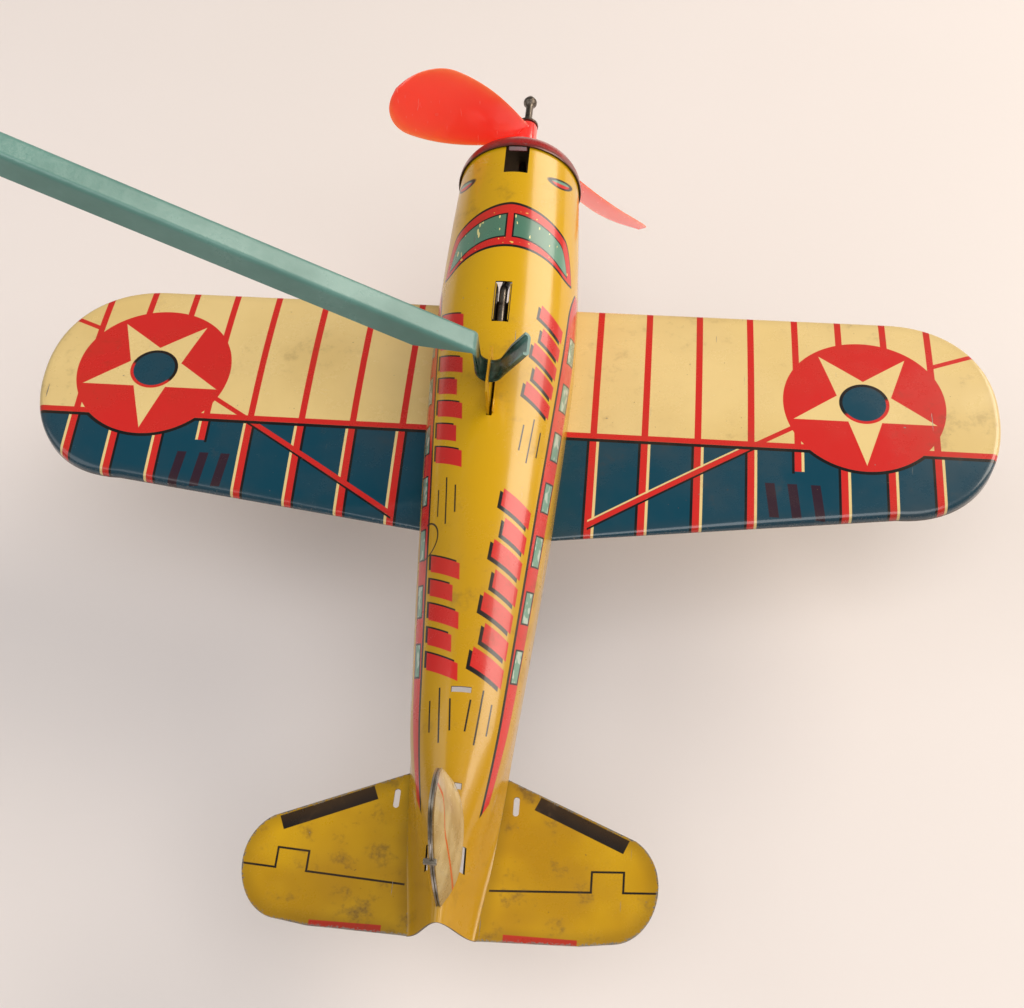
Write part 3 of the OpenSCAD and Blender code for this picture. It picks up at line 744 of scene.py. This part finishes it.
def arm_skin():
    """Upper face of the folded strip, 0.3 mm over its mid line."""
    line, reach = arm_sections()
    tangent = np.gradient(line, axis=0)
    tangent /= np.linalg.norm(tangent, axis=1, keepdims=True)
    normal = np.column_stack([-tangent[:, 1], tangent[:, 0]])
    half_w, fold_r = 2.25, 0.65
    points = []
    for p, n, r in zip(line, normal, reach):
        depth = abs(r)
        turn = math.pi / 2 if depth >= fold_r else math.acos(1 - depth / fold_r)
        centre = half_w - fold_r * math.sin(turn)
        edge = [(centre + fold_r * math.sin(a), fold_r * (1 - math.cos(a)))
                for a in np.linspace(0, turn, 8)]
        straight = max(depth - fold_r, 0.02)
        edge += [(edge[-1][0] + 0.001 * k, edge[-1][1] + straight * k / 4) for k in range(1, 5)]
        flat = [(y, 0.0) for y in np.linspace(0, centre, 6)[:-1]]
        profile = flat + edge
        sign = -1 if r > 0 else 1
        row = [(-y, d) for y, d in profile[:0:-1]] + profile
        points += [[p[0] + sign * d * n[0], y, p[1] + sign * d * n[1]] for y, d in row]
    cols = len(row)
    faces = grid_faces(len(line), cols, turned=True)
    points = np.array(points)
    normals = point_normals(points, faces)
    return points + ARM_SHEET / 2 * normals, faces, normals


def cut_bore(piece):
    """Drills the pivot hole through both side walls at the arm's outer end, along Y."""
    sides, reach = 48, 4.0
    x, z = along_arm(ARM_LENGTH - BORE_FROM_END, BORE_DOWN)
    points = []
    for y in (reach, -reach):
        for a in 2 * np.pi * np.arange(sides) / sides:
            points.append((x + BORE_R * math.cos(a), y, z + BORE_R * math.sin(a)))
    mesh = bpy.data.meshes.new("drill")
    mesh.from_pydata(at_row(points).tolist(), [], ring_faces(2, sides))
    drill = bpy.data.objects.new("drill", mesh)
    bpy.context.scene.collection.objects.link(drill)
    cut = piece.modifiers.new("bore", "BOOLEAN")
    cut.operation = "DIFFERENCE"
    cut.solver = "EXACT"
    cut.object = drill
    graph = bpy.context.evaluated_depsgraph_get()
    drilled = bpy.data.meshes.new_from_object(piece.evaluated_get(graph))
    piece.modifiers.clear()
    piece.data = drilled
    drilled.set_sharp_from_angle(angle=math.radians(50))
    bpy.data.objects.remove(drill)


# --- Paints ---

RED = rgb(210, 38, 32)
TEAL = rgb(2, 64, 82)
YELLOW = rgb(214, 164, 8)
BLACK = rgb(16, 12, 12)
CREAM = rgb(234, 204, 138)
GLASS_GREEN = rgb(112, 156, 134)
WINDOW_GREEN = rgb(182, 200, 182)
GRIME_AND_SHADE = rgb(84, 56, 12)
BARE_TIN = rgb(196, 192, 184)
COAT = dict(Coat_Weight=0.35, Coat_Roughness=0.08, Coat_IOR=1.5)

# Places on the wing's print, in mm from its middle and from the hanger eye
TEAL_FRONT_Y = 1.8
ROUNDEL_X = 70.9
ROUNDEL_Y = 13.3
ROUNDEL_R = 15.7
STAR_R = 14.4
BROKEN_RIB_X = 57.9
RIB_X = (18.7, 28.6, 38.8, 49.0, BROKEN_RIB_X, 66.6, 75.5, 84.3)
WINDOW_PITCH = 11.15  # along the body


def worn(p, edge, grime_and_shade, chips=1.0):
    """Finishes printed tin with grime, scratches and chips down to bare metal, and darkens it towards
    the sheet's edge, partly as grime and partly as painted shade where a sheet meets the body. edge
    is the distance in mm from the sheet's edge, where the print is rubbed off, or None."""
    clouds = p.noise(0.045, 4, 0.6, seed=3.1)
    stains = p.noise(0.22, 5, 0.7, seed=11.0)
    specks = p.noise(1.3, 2, 0.5, seed=5.7)
    fine = p.noise(3.0, 2, 0.6, seed=8.3)
    scratch = p.noise(0.5, 1, 0.5, stretch=(4.0, 0.18, 1.0), seed=21.0)
    dirt = p.ramp(stains + 0.5 * clouds, 0.82, 1.05) * grime_and_shade
    dirt = p.high(dirt, p.ramp(specks, 0.74, 0.80) * 0.55)
    p.tint(p.ramp(clouds, 0.35, 0.7, 0.0, 0.10), rgb(120, 84, 30))
    p.tint(dirt, GRIME_AND_SHADE)
    bare = p.ramp(specks * 0.6 + stains * 0.5, 0.735 + 0.03 / chips, 0.765 + 0.03 / chips)
    bare = p.high(bare, p.ramp(scratch, 0.775, 0.79) * p.ramp(clouds, 0.45, 0.6))
    if edge is not None:
        rub = p.inside(edge - (fine - 0.42) * 1.6, 0.12)
        bare = p.high(bare, rub * p.ramp(stains, 0.30, 0.5))
        # Painted shade and grime: the print darkens towards the sheet's edge, partly as grime and partly
        # as the shade where a sheet meets the body
        p.tint(p.ramp(edge, 0.2, 3.0, 0.45 * grime_and_shade, 0.0), GRIME_AND_SHADE)
    p.tint(bare, p.blend(fine, BARE_TIN, rgb(120, 108, 92)))
    rough = p.ramp(clouds + 0.4 * stains, 0.4, 0.95, 0.17, 0.30) + dirt * 0.25 + fine * 0.05
    p.set(Metallic=bare * 0.8)
    dents = p.noise(0.07, 2, 0.5, seed=2.0)
    return p.finish(rough, [(dents, 0.16), (bare, -0.01), (fine, 0.004)])


def raw_tin(name, tint=rgb(150, 143, 132)):
    """Bare, dulled tinplate, for insides and cut edges."""
    p = Paint(name, Metallic=0.85)
    clouds = p.noise(0.12, 4, 0.6, seed=7.0)
    fine = p.noise(2.2, 3, 0.6, seed=1.0)
    p.cloudy(clouds, tint, rgb(92, 78, 58), 0.35)
    p.tint(p.ramp(fine, 0.55, 0.75, 0.0, 0.6), rgb(58, 46, 34))
    return p.finish(p.ramp(clouds + 0.5 * fine, 0.5, 1.0, 0.32, 0.55), [(fine, 0.012)])


def block_rows(p, y, off, slant, start, count, pitch):
    """Signed distance to a row of slanted blocks, every other one shorter; start is the Y where
    the row begins."""
    along = (start - y - (off - 4.1) * slant) / pitch
    cell = abs(p.calc("FRACT", along) - 0.5)
    odd = p.calc("FRACT", p.calc("FLOOR", along) * 0.5) * 2
    block = p.high((cell - 0.34) * pitch, abs(off - 4.1 + odd * 0.6) - 3.1 + odd * 0.6)
    ends = p.high(-along, along - float(count)) * pitch
    return p.high(block, ends)


def either(right, a, b):
    """a on the right-hand side and b on the left."""
    return right * a + (1 - right) * b


def flank_band(p, y, off):
    """The red band with its row of windows; off is how far below the band's top a point lies."""
    depth = p.low(y * 0.035 + 5.05, y * 0.0636 + 6.65)
    nose_end = y + 0.35 * abs(off - 2.4) - 30.2
    tail_end = off * 1.6 - 78 - y
    band = p.high(-off, off - depth, p.high(nose_end, tail_end))
    p.draw(band, BLACK)
    p.draw(p.high(band, 0.55 - off), RED)
    along = (5 - y) / WINDOW_PITCH
    lean = (p.calc("FRACT", along + 0.5) - 0.5) * WINDOW_PITCH + (off - 3.3) * 0.35
    pane = p.high(abs(lean) - 2.9, p.high(y * 0.015 + 1.95 - off, off - y * 0.035 - 4.6))
    pane = p.high(pane, p.high(-54.5 - y, y - 20))
    p.draw(pane - 0.35, BLACK)
    glint = p.ramp(p.noise(0.9, 1, 0.5, stretch=(1, 0.5, 1), seed=4.0), 0.52, 0.6)
    p.draw(pane, p.blend(glint, GLASS_GREEN, WINDOW_GREEN))


def windshield(p, a, y):
    """A red frame around two panes; a is the distance from the ridge along the skin."""
    wide = a ** 1.5 * 0.09
    front = 42.9 - wide - 0.6 * p.high(a - 12.3, 0) ** 2
    rear = 32.4 - a * a * 0.018 + 0.12 * p.high(a - 12, 0) ** 2
    shield = p.high(y - front, rear - y)
    p.draw(shield - 0.15, BLACK)
    rivets = p.noise(1.1, 0, 0.5, seed=31.0)
    frame_red = p.blend(p.ramp(rivets, 0.76, 0.79), RED, rgb(240, 190, 90))
    p.draw(shield + 0.42, frame_red)
    pane_front = 40.1 - wide - 0.6 * p.high(a - 11, 0) ** 2
    pane_rear = 34.9 - a * a * 0.025 + 0.1 * p.high(a - 11, 0) ** 2
    pane = p.high(y - pane_front, pane_rear - y, 0.9 - a)
    p.draw(pane - 0.35, BLACK)
    glint = p.noise(0.55, 1, 0.5, stretch=(2.2, 0.7, 1), seed=14.0)
    pane_green = p.blend(p.ramp(a, 2, 14), rgb(78, 122, 100), rgb(112, 156, 132))
    pane_green = p.blend(p.ramp(glint, 0.66, 0.68), pane_green, rgb(232, 222, 150))
    p.draw(pane, pane_green)


def shadowed_blocks(p, y, off, right):
    """Rows of blocks above the band, each with a dark shadow."""
    # By side: slant, shadow, and the front and rear rows' start, count and pitch
    sides = ((-0.45, 0.6, (20.0, 5, 4.4), (-20.5, 7, 5.07)),
             (0.45, -0.6, (20.0, 7, 5.07), (-33.0, 5, 4.6)))
    for shadowed, paint in ((1, BLACK), (0, RED)):
        blocks = []
        for slant, shadow, front_row, rear_row in sides:
            shift = shadow * shadowed
            place = (y + shift, -off - shift, slant)
            blocks.append(p.low(block_rows(p, *place, *front_row), block_rows(p, *place, *rear_row)))
        p.draw(either(right, *blocks), paint)


def trailing_lines(p, y, off, right):
    """Thin lines behind each row of blocks."""
    starts = [either(right, p.calc("ADD", y, 4.0), p.calc("ADD", y, 17.3)), y + 57.5]
    for place in starts:
        for level, length in ((2.2, 5.5), (4.1, 9.5), (6.0, 5.5)):
            line = p.high(abs(-off - level) - 0.15, abs(place + 4.9) - length / 2)
            p.draw(line, BLACK)


def leaf_marks(p, a, y, right):
    """Leaf-shaped marks behind the cowling."""
    side = a - either(right, 10.3, 12.4)
    lean = y - 51.3 - 0.32 * side - 0.05 * side * side
    leaf = (side * side / 9.0 + lean * lean / 0.95) ** 0.5 - 1
    p.draw(leaf - 0.2, BLACK, 0.1)
    p.draw(leaf + 0.22, p.blend(p.ramp(lean, 0.0, 0.2), RED, GLASS_GREEN), 0.1)


def body_print():
    p = Paint("body_print", **COAT)
    g, y, share = p.print_mm()
    a = abs(g)
    right = p.ramp(g, -0.01, 0.01)
    p.cloudy(y, rgb(192, 142, 6), YELLOW, -95, 20)
    off = a - (p.high(y - 22, 0) ** 2 * 0.03 + (y + 20) * 0.0925 + abs(y + 20) * 0.0075 + 11.1)
    flank_band(p, y, off)
    windshield(p, a, y)
    shadowed_blocks(p, y, off, right)
    trailing_lines(p, y, off, right)
    leaf_marks(p, a, y, right)

    # A stray curl of dark paint on the left
    curl = ((g + 11.3) * (g + 11.3) + (y + 28.9) * (y + 28.9)) ** 0.5
    p.draw(p.high(abs(curl - 3.4) - 0.16, -11.6 - g), BLACK)

    edge = p.high((1 - abs(share)) * 30, 0.12)
    return worn(p, edge, 0.32)


def ribs(p, ax, y, zone):
    """Red ribs, with a cream line outboard and a dark one inboard where they cross the teal."""
    for at in RIB_X:
        rib = ax - at
        near = abs(rib) - 0.65
        dark = p.high(abs(rib + 0.9) - 0.25, zone)
        pale = p.high(abs(rib - 0.9) - 0.27, zone)
        if at == BROKEN_RIB_X:
            near = p.low(p.high(-3.2 - y, near), p.high(y + 15.2, near))
            dark = p.high(dark, -3.7 - y)
            pale = p.high(pale, -3.2 - y)
        p.draw(dark, BLACK)
        p.draw(pale, CREAM)
        p.draw(near, RED)


def braces(p, x, y, reach, zone):
    """The long slanted brace to the roundel and the short one at the tip."""
    ax = abs(x)
    brace = (y - TEAL_FRONT_Y) * 0.851 - (ax - RIB_X[3]) * 0.524
    span = p.high(ax - 57.5, 18.6 - ax, 15.4 - reach)
    p.draw(p.high(abs(brace - 0.7) - 0.16, span, p.high(zone, -x)), CREAM)
    p.draw(p.high(abs(brace + 0.7) - 0.2, span, zone), BLACK)
    p.draw(p.high(abs(brace) - 0.5, span), RED)
    short = (y - 23.4) * 0.92 - (ax - 84.4) * 0.38
    p.draw(p.high(abs(short) - 0.5, 84.3 - ax), RED)


def roundel(p, dx, dy, reach):
    """A red disc with a cream star and a teal centre."""
    p.draw(reach - ROUNDEL_R, RED)
    turn = p.calc("ARCTAN2", dx, -dy)
    fifth = 2 * math.pi / 5
    folded = abs(p.calc("FRACT", turn / fifth + 10.5) - 0.5) * fifth
    along = reach * p.calc("COSINE", folded)
    across = reach * p.calc("SINE", folded)
    p.draw((along - STAR_R) * 0.309 + across * 0.951, CREAM)
    low_rim = p.blend(p.ramp(dx * 0.5 - dy, 0.5, 1.5), BLACK, RED)
    p.draw(reach - 4.85, low_rim)
    p.draw(reach - 4.2, TEAL)


def number_bars(p, ax, y):
    """Three dark bars in the place of a number."""
    for at in (53.0, 57.2, 61.6):
        bar = p.high(abs(ax - at + 0.12 * (y + 10)) - 0.9, abs(y + 9.6) - 3.6)
        p.draw(bar, rgb(48, 26, 40))


def wing_print():
    p = Paint("wing_print", **COAT)
    edge, x, y = p.print_mm()
    ax = abs(x)
    dx, dy = ax - ROUNDEL_X, y - ROUNDEL_Y
    reach = (dx * dx + dy * dy) ** 0.5
    zone = p.high(y - TEAL_FRONT_Y, ROUNDEL_R - reach)
    p.cloudy(p.noise(0.03, 2, seed=9.0), CREAM, rgb(228, 196, 126))
    p.draw(zone, TEAL)
    ribs(p, ax, y, zone)
    braces(p, x, y, reach, zone)
    # The teal's border
    p.draw(p.high(zone, -0.7 - zone), BLACK)
    p.draw(abs(zone - 0.6) - 0.6, RED)
    roundel(p, dx, dy, reach)
    number_bars(p, ax, y)
    p.tint(p.ramp(edge, -0.45, 0.1, 0.75, 0.0), rgb(70, 48, 30))
    return worn(p, p.high(edge + 0.1, 0.42), 0.25)


def tail_print():
    p = Paint("tail_print", **COAT)
    edge, x, y = p.print_mm()
    ax = abs(x)
    p.cloudy(p.noise(0.05, 3, seed=6.0), rgb(212, 164, 10), rgb(186, 138, 6), 0.35, 0.65)
    along = (ax - 13.9) * 0.919 - (y + 71.9) * 0.394
    across = (ax - 13.9) * 0.394 + (y + 71.9) * 0.919
    bar = p.high(abs(along - 8.05) - 8.2, abs(across + 0.2) - 1.25)
    p.draw(bar, BLACK)
    slope = (ax - 20.5) * 0.059
    hinge = y + 86.6 - slope
    line = p.high(abs(hinge) - 0.18, p.high(6.9 - ax, ax - 34.1))
    line = p.high(line, 2.4 - abs(ax - 25.95))
    top = p.high(abs(hinge - 3.4) - 0.18, abs(ax - 25.95) - 2.75)
    sides = p.high(abs(abs(ax - 25.95) - 2.6) - 0.18, abs(hinge - 1.7) - 1.8)
    p.draw(p.low(line, p.low(top, sides)), BLACK)
    red = p.high(abs(ax - 15.7) - 5.9, y + 94.3)
    p.draw(red, RED)
    return worn(p, p.high(edge, 0.05), 0.75, 1.4)


def fin_print():
    p = Paint("fin_print", **COAT)
    h = p.print_mm()[1]
    x, y, z = p.plane_mm()
    right = p.ramp(x, -0.05, 0.05)
    p.cloudy(p.noise(0.12, 3, seed=15.0), rgb(206, 190, 150), rgb(170, 150, 112), 0.35, 0.65)
    curve = y + 82.6 + p.ramp(z, 25.5, 19.0, 0.0, 4.2) + 0.24 * p.high(19.5 - z, 0)
    p.draw(abs(curve) - 0.3, rgb(214, 84, 52))
    p.draw(0.955 - h, BLACK, 0.01)
    yellow = p.blend(p.ramp(h, 0.2, 0.8), YELLOW, rgb(210, 150, 12))
    p.colour = p.blend(right, yellow, p.colour)
    edge = (1 - h) * 14
    return worn(p, p.high(edge, 0.1), 0.5, 1.3)


def plain_yellow(name):
    p = Paint(name, **COAT)
    p.cloudy(p.noise(0.3, 3, seed=12.0), YELLOW, rgb(206, 146, 12))
    return worn(p, None, 0.6, 1.3)


def cap_paint():
    p = Paint("cap_enamel", **COAT)
    y = p.plane_mm()[1]
    clouds = p.noise(0.16, 4, 0.6, seed=17.0)
    fine = p.noise(2.4, 2, 0.6, seed=18.0)
    p.cloudy(clouds, rgb(158, 28, 22), rgb(126, 24, 18))
    rub = p.ramp(p.noise(0.5, 4, 0.7, seed=19.0) + 0.25 * clouds, 0.62, 0.74)
    p.tint(rub * 0.5, rgb(92, 40, 28))
    rim = p.ramp(y, 57.3, 58.2, 0.8, 0.0)
    p.tint(rim * p.ramp(fine + clouds, 0.6, 1.2, 0.5, 1.0), rgb(70, 34, 26))
    chips = p.ramp(fine * 0.5 + clouds * 0.5, 0.62, 0.64)
    p.tint(chips, rgb(120, 100, 84))
    p.set(Metallic=chips * 0.7)
    rough = p.ramp(clouds, 0.3, 0.7, 0.22, 0.40) + fine * 0.08
    dents = p.noise(0.25, 3, 0.6, seed=20.0)
    return p.finish(rough, [(dents, 0.08), (chips, -0.012), (fine, 0.006)])


def arm_paint():
    p = Paint("arm_enamel", Coat_Weight=0.15, Coat_Roughness=0.2)
    z = p.plane_mm()[2]
    clouds = p.noise(0.06, 4, 0.6, seed=23.0)
    fine = p.noise(1.6, 3, 0.6, seed=24.0)
    pits = p.noise(0.9, 3, 0.7, seed=25.0)
    p.cloudy(clouds, rgb(104, 146, 135), rgb(88, 130, 119))
    deep = p.ramp(z, 26.0, 30.5, 1.0, 0.0)
    p.tint(deep, p.blend(p.ramp(pits, 0.4, 0.6), rgb(50, 78, 66), rgb(32, 52, 42)))
    rust = p.ramp(pits + 0.2 * clouds, 0.80, 0.88)
    p.tint(rust * 0.7, rgb(96, 74, 50))
    chips = p.ramp(fine * 0.45 + pits * 0.5, 0.66, 0.68)
    p.tint(chips, rgb(196, 210, 200))
    rough = p.ramp(clouds, 0.3, 0.7, 0.22, 0.34) + fine * 0.06
    dents = p.noise(0.4, 3, 0.6, seed=26.0)
    return p.finish(rough, [(dents, 0.10), (chips, -0.01), (fine, 0.005)])


def propeller_plastic():
    p = Paint("red_plastic", IOR=1.5, Subsurface_Weight=0.6, Transmission_Weight=0.1,
              Subsurface_Radius=(0.008, 0.002, 0.001), Subsurface_Scale=1.0, Coat_Weight=0.3)
    x, _, z = p.plane_mm()
    clouds = p.noise(0.09, 3, 0.6, seed=27.0)
    fine = p.noise(2.0, 2, 0.6, seed=28.0)
    away = (x * x + (z - SHAFT_Z) * (z - SHAFT_Z)) ** 0.5
    p.cloudy(away, rgb(250, 44, 32), rgb(255, 76, 58), 4, 26)
    p.tint(p.ramp(clouds, 0.3, 0.7, 0.0, 0.35), rgb(252, 60, 36))
    scuff = p.ramp(p.noise(0.6, 2, 0.5, stretch=(3, 1, 0.4), seed=29.0), 0.68, 0.76)
    p.tint(scuff * 0.25, rgb(255, 150, 140))
    rough = p.ramp(clouds, 0.3, 0.7, 0.16, 0.28) + scuff * 0.15
    waves = p.noise(0.12, 2, 0.5, seed=30.0)
    # The faint glow stands for the light that shines through the thin plastic
    return p.finish(rough, [(waves, 0.2), (fine, 0.003)], Emission_Color=p.colour, Emission_Strength=0.16)


def steel_wire():
    p = Paint("steel_wire", Metallic=0.9)
    fine = p.noise(1.8, 3, 0.6, seed=32.0)
    rust = p.ramp(p.noise(0.5, 4, 0.7, seed=33.0), 0.5, 0.68)
    p.cloudy(fine, rgb(132, 122, 110), rgb(92, 82, 72))
    p.tint(rust, rgb(52, 38, 28))
    return p.finish(p.ramp(fine, 0.3, 0.7, 0.28, 0.42) + rust * 0.15, [(fine, 0.012)])


def floor_paper():
    p = Paint("floor_paper", roughness=0.55)
    clouds = p.noise(0.004, 3, 0.5, seed=40.0)
    grain = p.noise(0.8, 3, 0.6, seed=41.0)
    specks = p.noise(0.11, 3, 0.8, seed=42.0)
    p.cloudy(clouds, rgb(240, 229, 223), rgb(236, 225, 218))
    p.tint(p.ramp(specks, 0.80, 0.84, 0.0, 0.5), rgb(170, 140, 120))
    return p.finish(p.ramp(grain, 0.3, 0.7, 0.5, 0.62), [(grain, 0.02)])


# --- Pieces ---

FLAP_SHEET = 0.28
TAIL_SHEET = 0.3
CAP_HOLE_R = 0.85
CAP_R = 12.75
WIRE_R = 0.79
BEND_R = 3.5

def tin_piece(name, skin, depth, materials):
    """A sheet piece of the airplane from its outer face: points, faces, normals, print numbers."""
    points, faces, normals, data = skin
    points, faces, parts = thicken(points, faces, depth, normals)
    data = np.concatenate([data, data])
    return add_piece(name, points, faces, materials, parts, data)


def fuselage(lining):
    body = tin_piece("fuselage_skin", body_skin(), SHEET, [body_print(), lining, lining])
    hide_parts("fuselage_shell")


def clamp_flap(name, side, material):
    """A flap folded down from the roof slot, which clamps the wire."""
    steps = 22
    rows = []
    for y in np.linspace(15.3, 23.7, steps):
        ridge = ridge_at(y) - 0.03
        # The lower end wraps under the wire, but not where the wire turns down
        wrap = float(ease((21.6 - y) / 0.8))
        section = [(1.62, 0.0), (1.5, -0.03), (1.36, -0.12), (1.28, -0.3), (1.2, -0.8), (1.12, -1.4),
                   (1.1, -2.0), (mix(1.1, 0.9, wrap), -2.4), (mix(1.1, 0.5, wrap), -2.6),
                   (mix(1.1, 0.02, wrap), mix(-3.0, -2.65, wrap))]
        rows += [[side * x, y, ridge + z] for x, z in section]
    faces = grid_faces(steps, len(section), turned=side > 0)
    points, faces, _ = thicken(np.array(rows), faces, FLAP_SHEET)
    add_piece(name, points, faces, [material], angle=50)


def slot_tongue(material):
    """A small tongue bent up beside the bracket's slot."""
    points, faces = bevelled_box((0.32, -5.2, -0.3), (0.6, -2.6, 0.9), 0.1)
    points[:, 2] += ridge_at(points[:, 1])
    add_piece("slot_tongue", points, faces, [material])


def wing_tabs(material):
    """Four tabs that hold the wing, with their bent feet."""
    tabs = []
    for side in (-1, 1):
        for y in (-12.0, 24.0):
            x = float(half_width_at(y)) - SHEET - 0.05
            foot_z = float(wing_top_at(y)) - 1.0
            for inner, outer, height in ((x - 0.17, x + 0.17, 3.2), (x - 2.9, x, 0.34)):
                near, far = sorted((side * inner, side * outer))
                tabs.append(bevelled_box((near, y - 2, foot_z), (far, y + 2, foot_z + height), 0.1))
    points, faces = join(tabs)
    add_piece("wing_tabs", points, faces, [material])


def tail_fin(lining, cut_edge):
    """The fin, and the ear that crimps its rear edge."""
    fin = tin_piece("fin_skin", fin_skin(), FIN_SHEET, [fin_print(), lining, cut_edge])
    y, z = fin_top(0.75)
    points, faces = bevelled_box((-1.28, y - 0.28, z - 0.48), (0.75, y + 0.55, z + 0.25))
    add_piece("fin_ear", points, faces, [cut_edge])
    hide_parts("tail_fin")


def dome(radius, base_y, height, angles):
    """(radius, y) points of a dome around the shaft's hole."""
    return [(mix(CAP_HOLE_R, radius, math.sin(a)), base_y + height * math.cos(a))
            for a in np.radians(angles)]


def nose_cap(lining):
    """The domed cap, and the tab that folds over the cowl's notch."""
    around = 120
    angles = np.linspace(0, 90, 26)
    outer = dome(CAP_R, 57.6, 7.3, angles) + [(12.83, 57.3), (12.84, 57.1), (12.78, 56.93)]
    inner = [(12.55, 56.92), (12.52, 57.3)] + dome(CAP_R - 0.25, 57.5, 6.95, angles[::-1])
    points, faces = revolve(outer + inner, around)
    parts = [0 if i < len(outer) - 1 else 1 for i in range(len(outer + inner))] * around
    enamel = cap_paint()
    cap = add_piece("cap_shell", points, faces, [enamel, lining], parts, angle=50)
    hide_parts("nose_cap")
    points, faces = bevelled_box((-1.9, -1.5, -0.34), (1.9, 0.2, 0.0), 0.12)
    fold = Matrix.Rotation(math.radians(35), 3, "X")
    points = points @ np.array(fold.transposed()) + [0, 57.5, SHAFT_Z + 12.85 - SHEET / 2]
    add_piece("cap_tab", points, faces, [enamel])


def shaft_wire(steel):
    """The wire runs back from its knob, climbs to the roof slot and dips behind it."""
    slot_front = (23.0, float(ridge_at(23.0)) - 1.3)
    slot_rear = (15.8, float(ridge_at(15.8)) - 1.4)
    end = (12.2, slot_rear[1] - 1.5)
    level, climb = (37.5, SHAFT_Z), (33.0, SHAFT_Z)
    path = [(83.0, SHAFT_Z)] + [(y, SHAFT_Z) for y in np.linspace(80, 38, 30)]
    path += rounded(level, climb, slot_front, BEND_R, 10)
    path += rounded(climb, slot_front, slot_rear, BEND_R, 8)
    path += rounded(slot_front, slot_rear, end, BEND_R, 8) + [end]
    knob = [(0.02, 82.6), (0.8, 82.6), (0.95, 83.2), (1.4, 83.75), (1.45, 84.0), (1.45, 84.4),
            (1.38, 84.6), (1.0, 85.25), (0.72, 85.68), (0.02, 85.68)]
    points, faces = join([sweep(path, WIRE_R), revolve(knob, 40)])
    shaft = add_piece("shaft_wire", points, faces, [steel])
    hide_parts("propeller_shaft")


def propeller():
    boss = [(0.88, 65.4), (2.05, 65.35), (2.2, 65.5), (2.24, 66.0), (2.24, 75.6), (2.15, 76.1),
            (1.95, 76.26), (0.88, 76.26)]
    points, faces = join([blade(0), blade(180), revolve(boss, 64)])
    plastic = propeller_plastic()
    blades = add_piece("propeller_blades", points, faces, [plastic], angle=40,
                       body="propeller")
    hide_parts("propeller")


def tower_arm():
    points, faces, normals = arm_skin()
    points, faces, _ = thicken(points, faces, ARM_SHEET, normals)
    arm = add_piece("arm_strip", points, faces, [arm_paint()], angle=60, body="arm")
    cut_bore(arm)
    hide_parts("tower_arm")


def paint_cad_node(node, material):
    """Gives a node that keeps its CAD shape its material."""
    mesh = frame["nodes"][node].data
    mesh.materials.clear()
    mesh.materials.append(material)


inside_tin = raw_tin("inside_tin")
shade_tin = raw_tin("shade_tin", rgb(84, 72, 58))
cut_tin = raw_tin("cut_tin", rgb(186, 180, 168))
yellow_paint = plain_yellow("yellow_enamel")
steel = steel_wire()

fuselage(shade_tin)
tail_materials = [tail_print(), inside_tin, cut_tin]
for side, name in ((-1, "tailplane_left"), (1, "tailplane_right")):
    tin_piece(name, tail_plate(side), TAIL_SHEET, tail_materials)
for side, name in ((-1, "clamp_flap_left"), (1, "clamp_flap_right")):
    clamp_flap(name, side, shade_tin)
slot_tongue(yellow_paint)
wing_tabs(cut_tin)
wing = tin_piece("wing_skin", wing_skin(), SHEET, [wing_print(), inside_tin, cut_tin])
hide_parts("wing")
tail_fin(inside_tin, cut_tin)
nose_cap(shade_tin)
shaft_wire(steel)
propeller()
tower_arm()
paint_cad_node("hanger_bracket", yellow_paint)
paint_cad_node("shaft_washer", steel)

# --- Floor, light and camera ---

FLOOR_Z = -50.0
AIM = (0.08, 0, 0)
COOL = (0.97, 0.985, 1.0)
WARM = (1.0, 0.915, 0.81)


def paper_floor():
    bpy.ops.mesh.primitive_plane_add(size=4.0, location=at_row([[0, 0, FLOOR_Z]])[0])
    floor = bpy.context.object
    floor.name = "floor"
    floor.data.materials.append(floor_paper())


def soft_light(name, place, width, height, watts, colour):
    """An area light that looks at the airplane."""
    lamp = bpy.data.lights.new(name, "AREA")
    lamp.shape = "RECTANGLE"
    lamp.size, lamp.size_y = width, height
    lamp.energy = watts
    lamp.color = colour
    light = bpy.data.objects.new(name, lamp)
    light.location = place
    light.rotation_euler = (Vector(AIM) - Vector(place)).to_track_quat("-Z", "Y").to_euler()
    bpy.context.scene.collection.objects.link(light)


def dim_world():
    world = bpy.data.worlds.new("studio")
    world.use_nodes = True
    background = world.node_tree.nodes["Background"]
    background.inputs[0].default_value = (0.92, 0.95, 1.0, 1.0)
    background.inputs[1].default_value = 0.16
    bpy.context.scene.world = world


def place_camera(place, right, back, lens):
    """A camera at a place, with the directions of its right-hand side and its back."""
    camera_data = bpy.data.cameras.new("camera")
    camera_data.sensor_width = 36.0
    camera_data.lens = lens
    camera = bpy.data.objects.new("camera", camera_data)
    back = Vector(back).normalized()
    up = back.cross(Vector(right)).normalized()
    turn = Matrix((up.cross(back), up, back)).transposed().to_4x4()
    camera.matrix_world = Matrix.Translation(place) @ turn
    bpy.context.scene.collection.objects.link(camera)
    bpy.context.scene.camera = camera


paper_floor()
soft_light("key", (1.05, 0.6, 0.66), 1.2, 0.9, 17.5, WARM)
soft_light("fill", (0.3, -0.5, 1.22), 1.2, 0.9, 10.0, COOL)
soft_light("left", (-1.0, -0.3, 0.95), 1.2, 1.2, 6.0, COOL)
dim_world()
bpy.context.scene.view_settings.view_transform = "Standard"
place_camera((0.11063, -0.16146, 0.14824), (0.9956, 0.0878, -0.0324), (0.0753, -0.5459, 0.8345), 50.33)
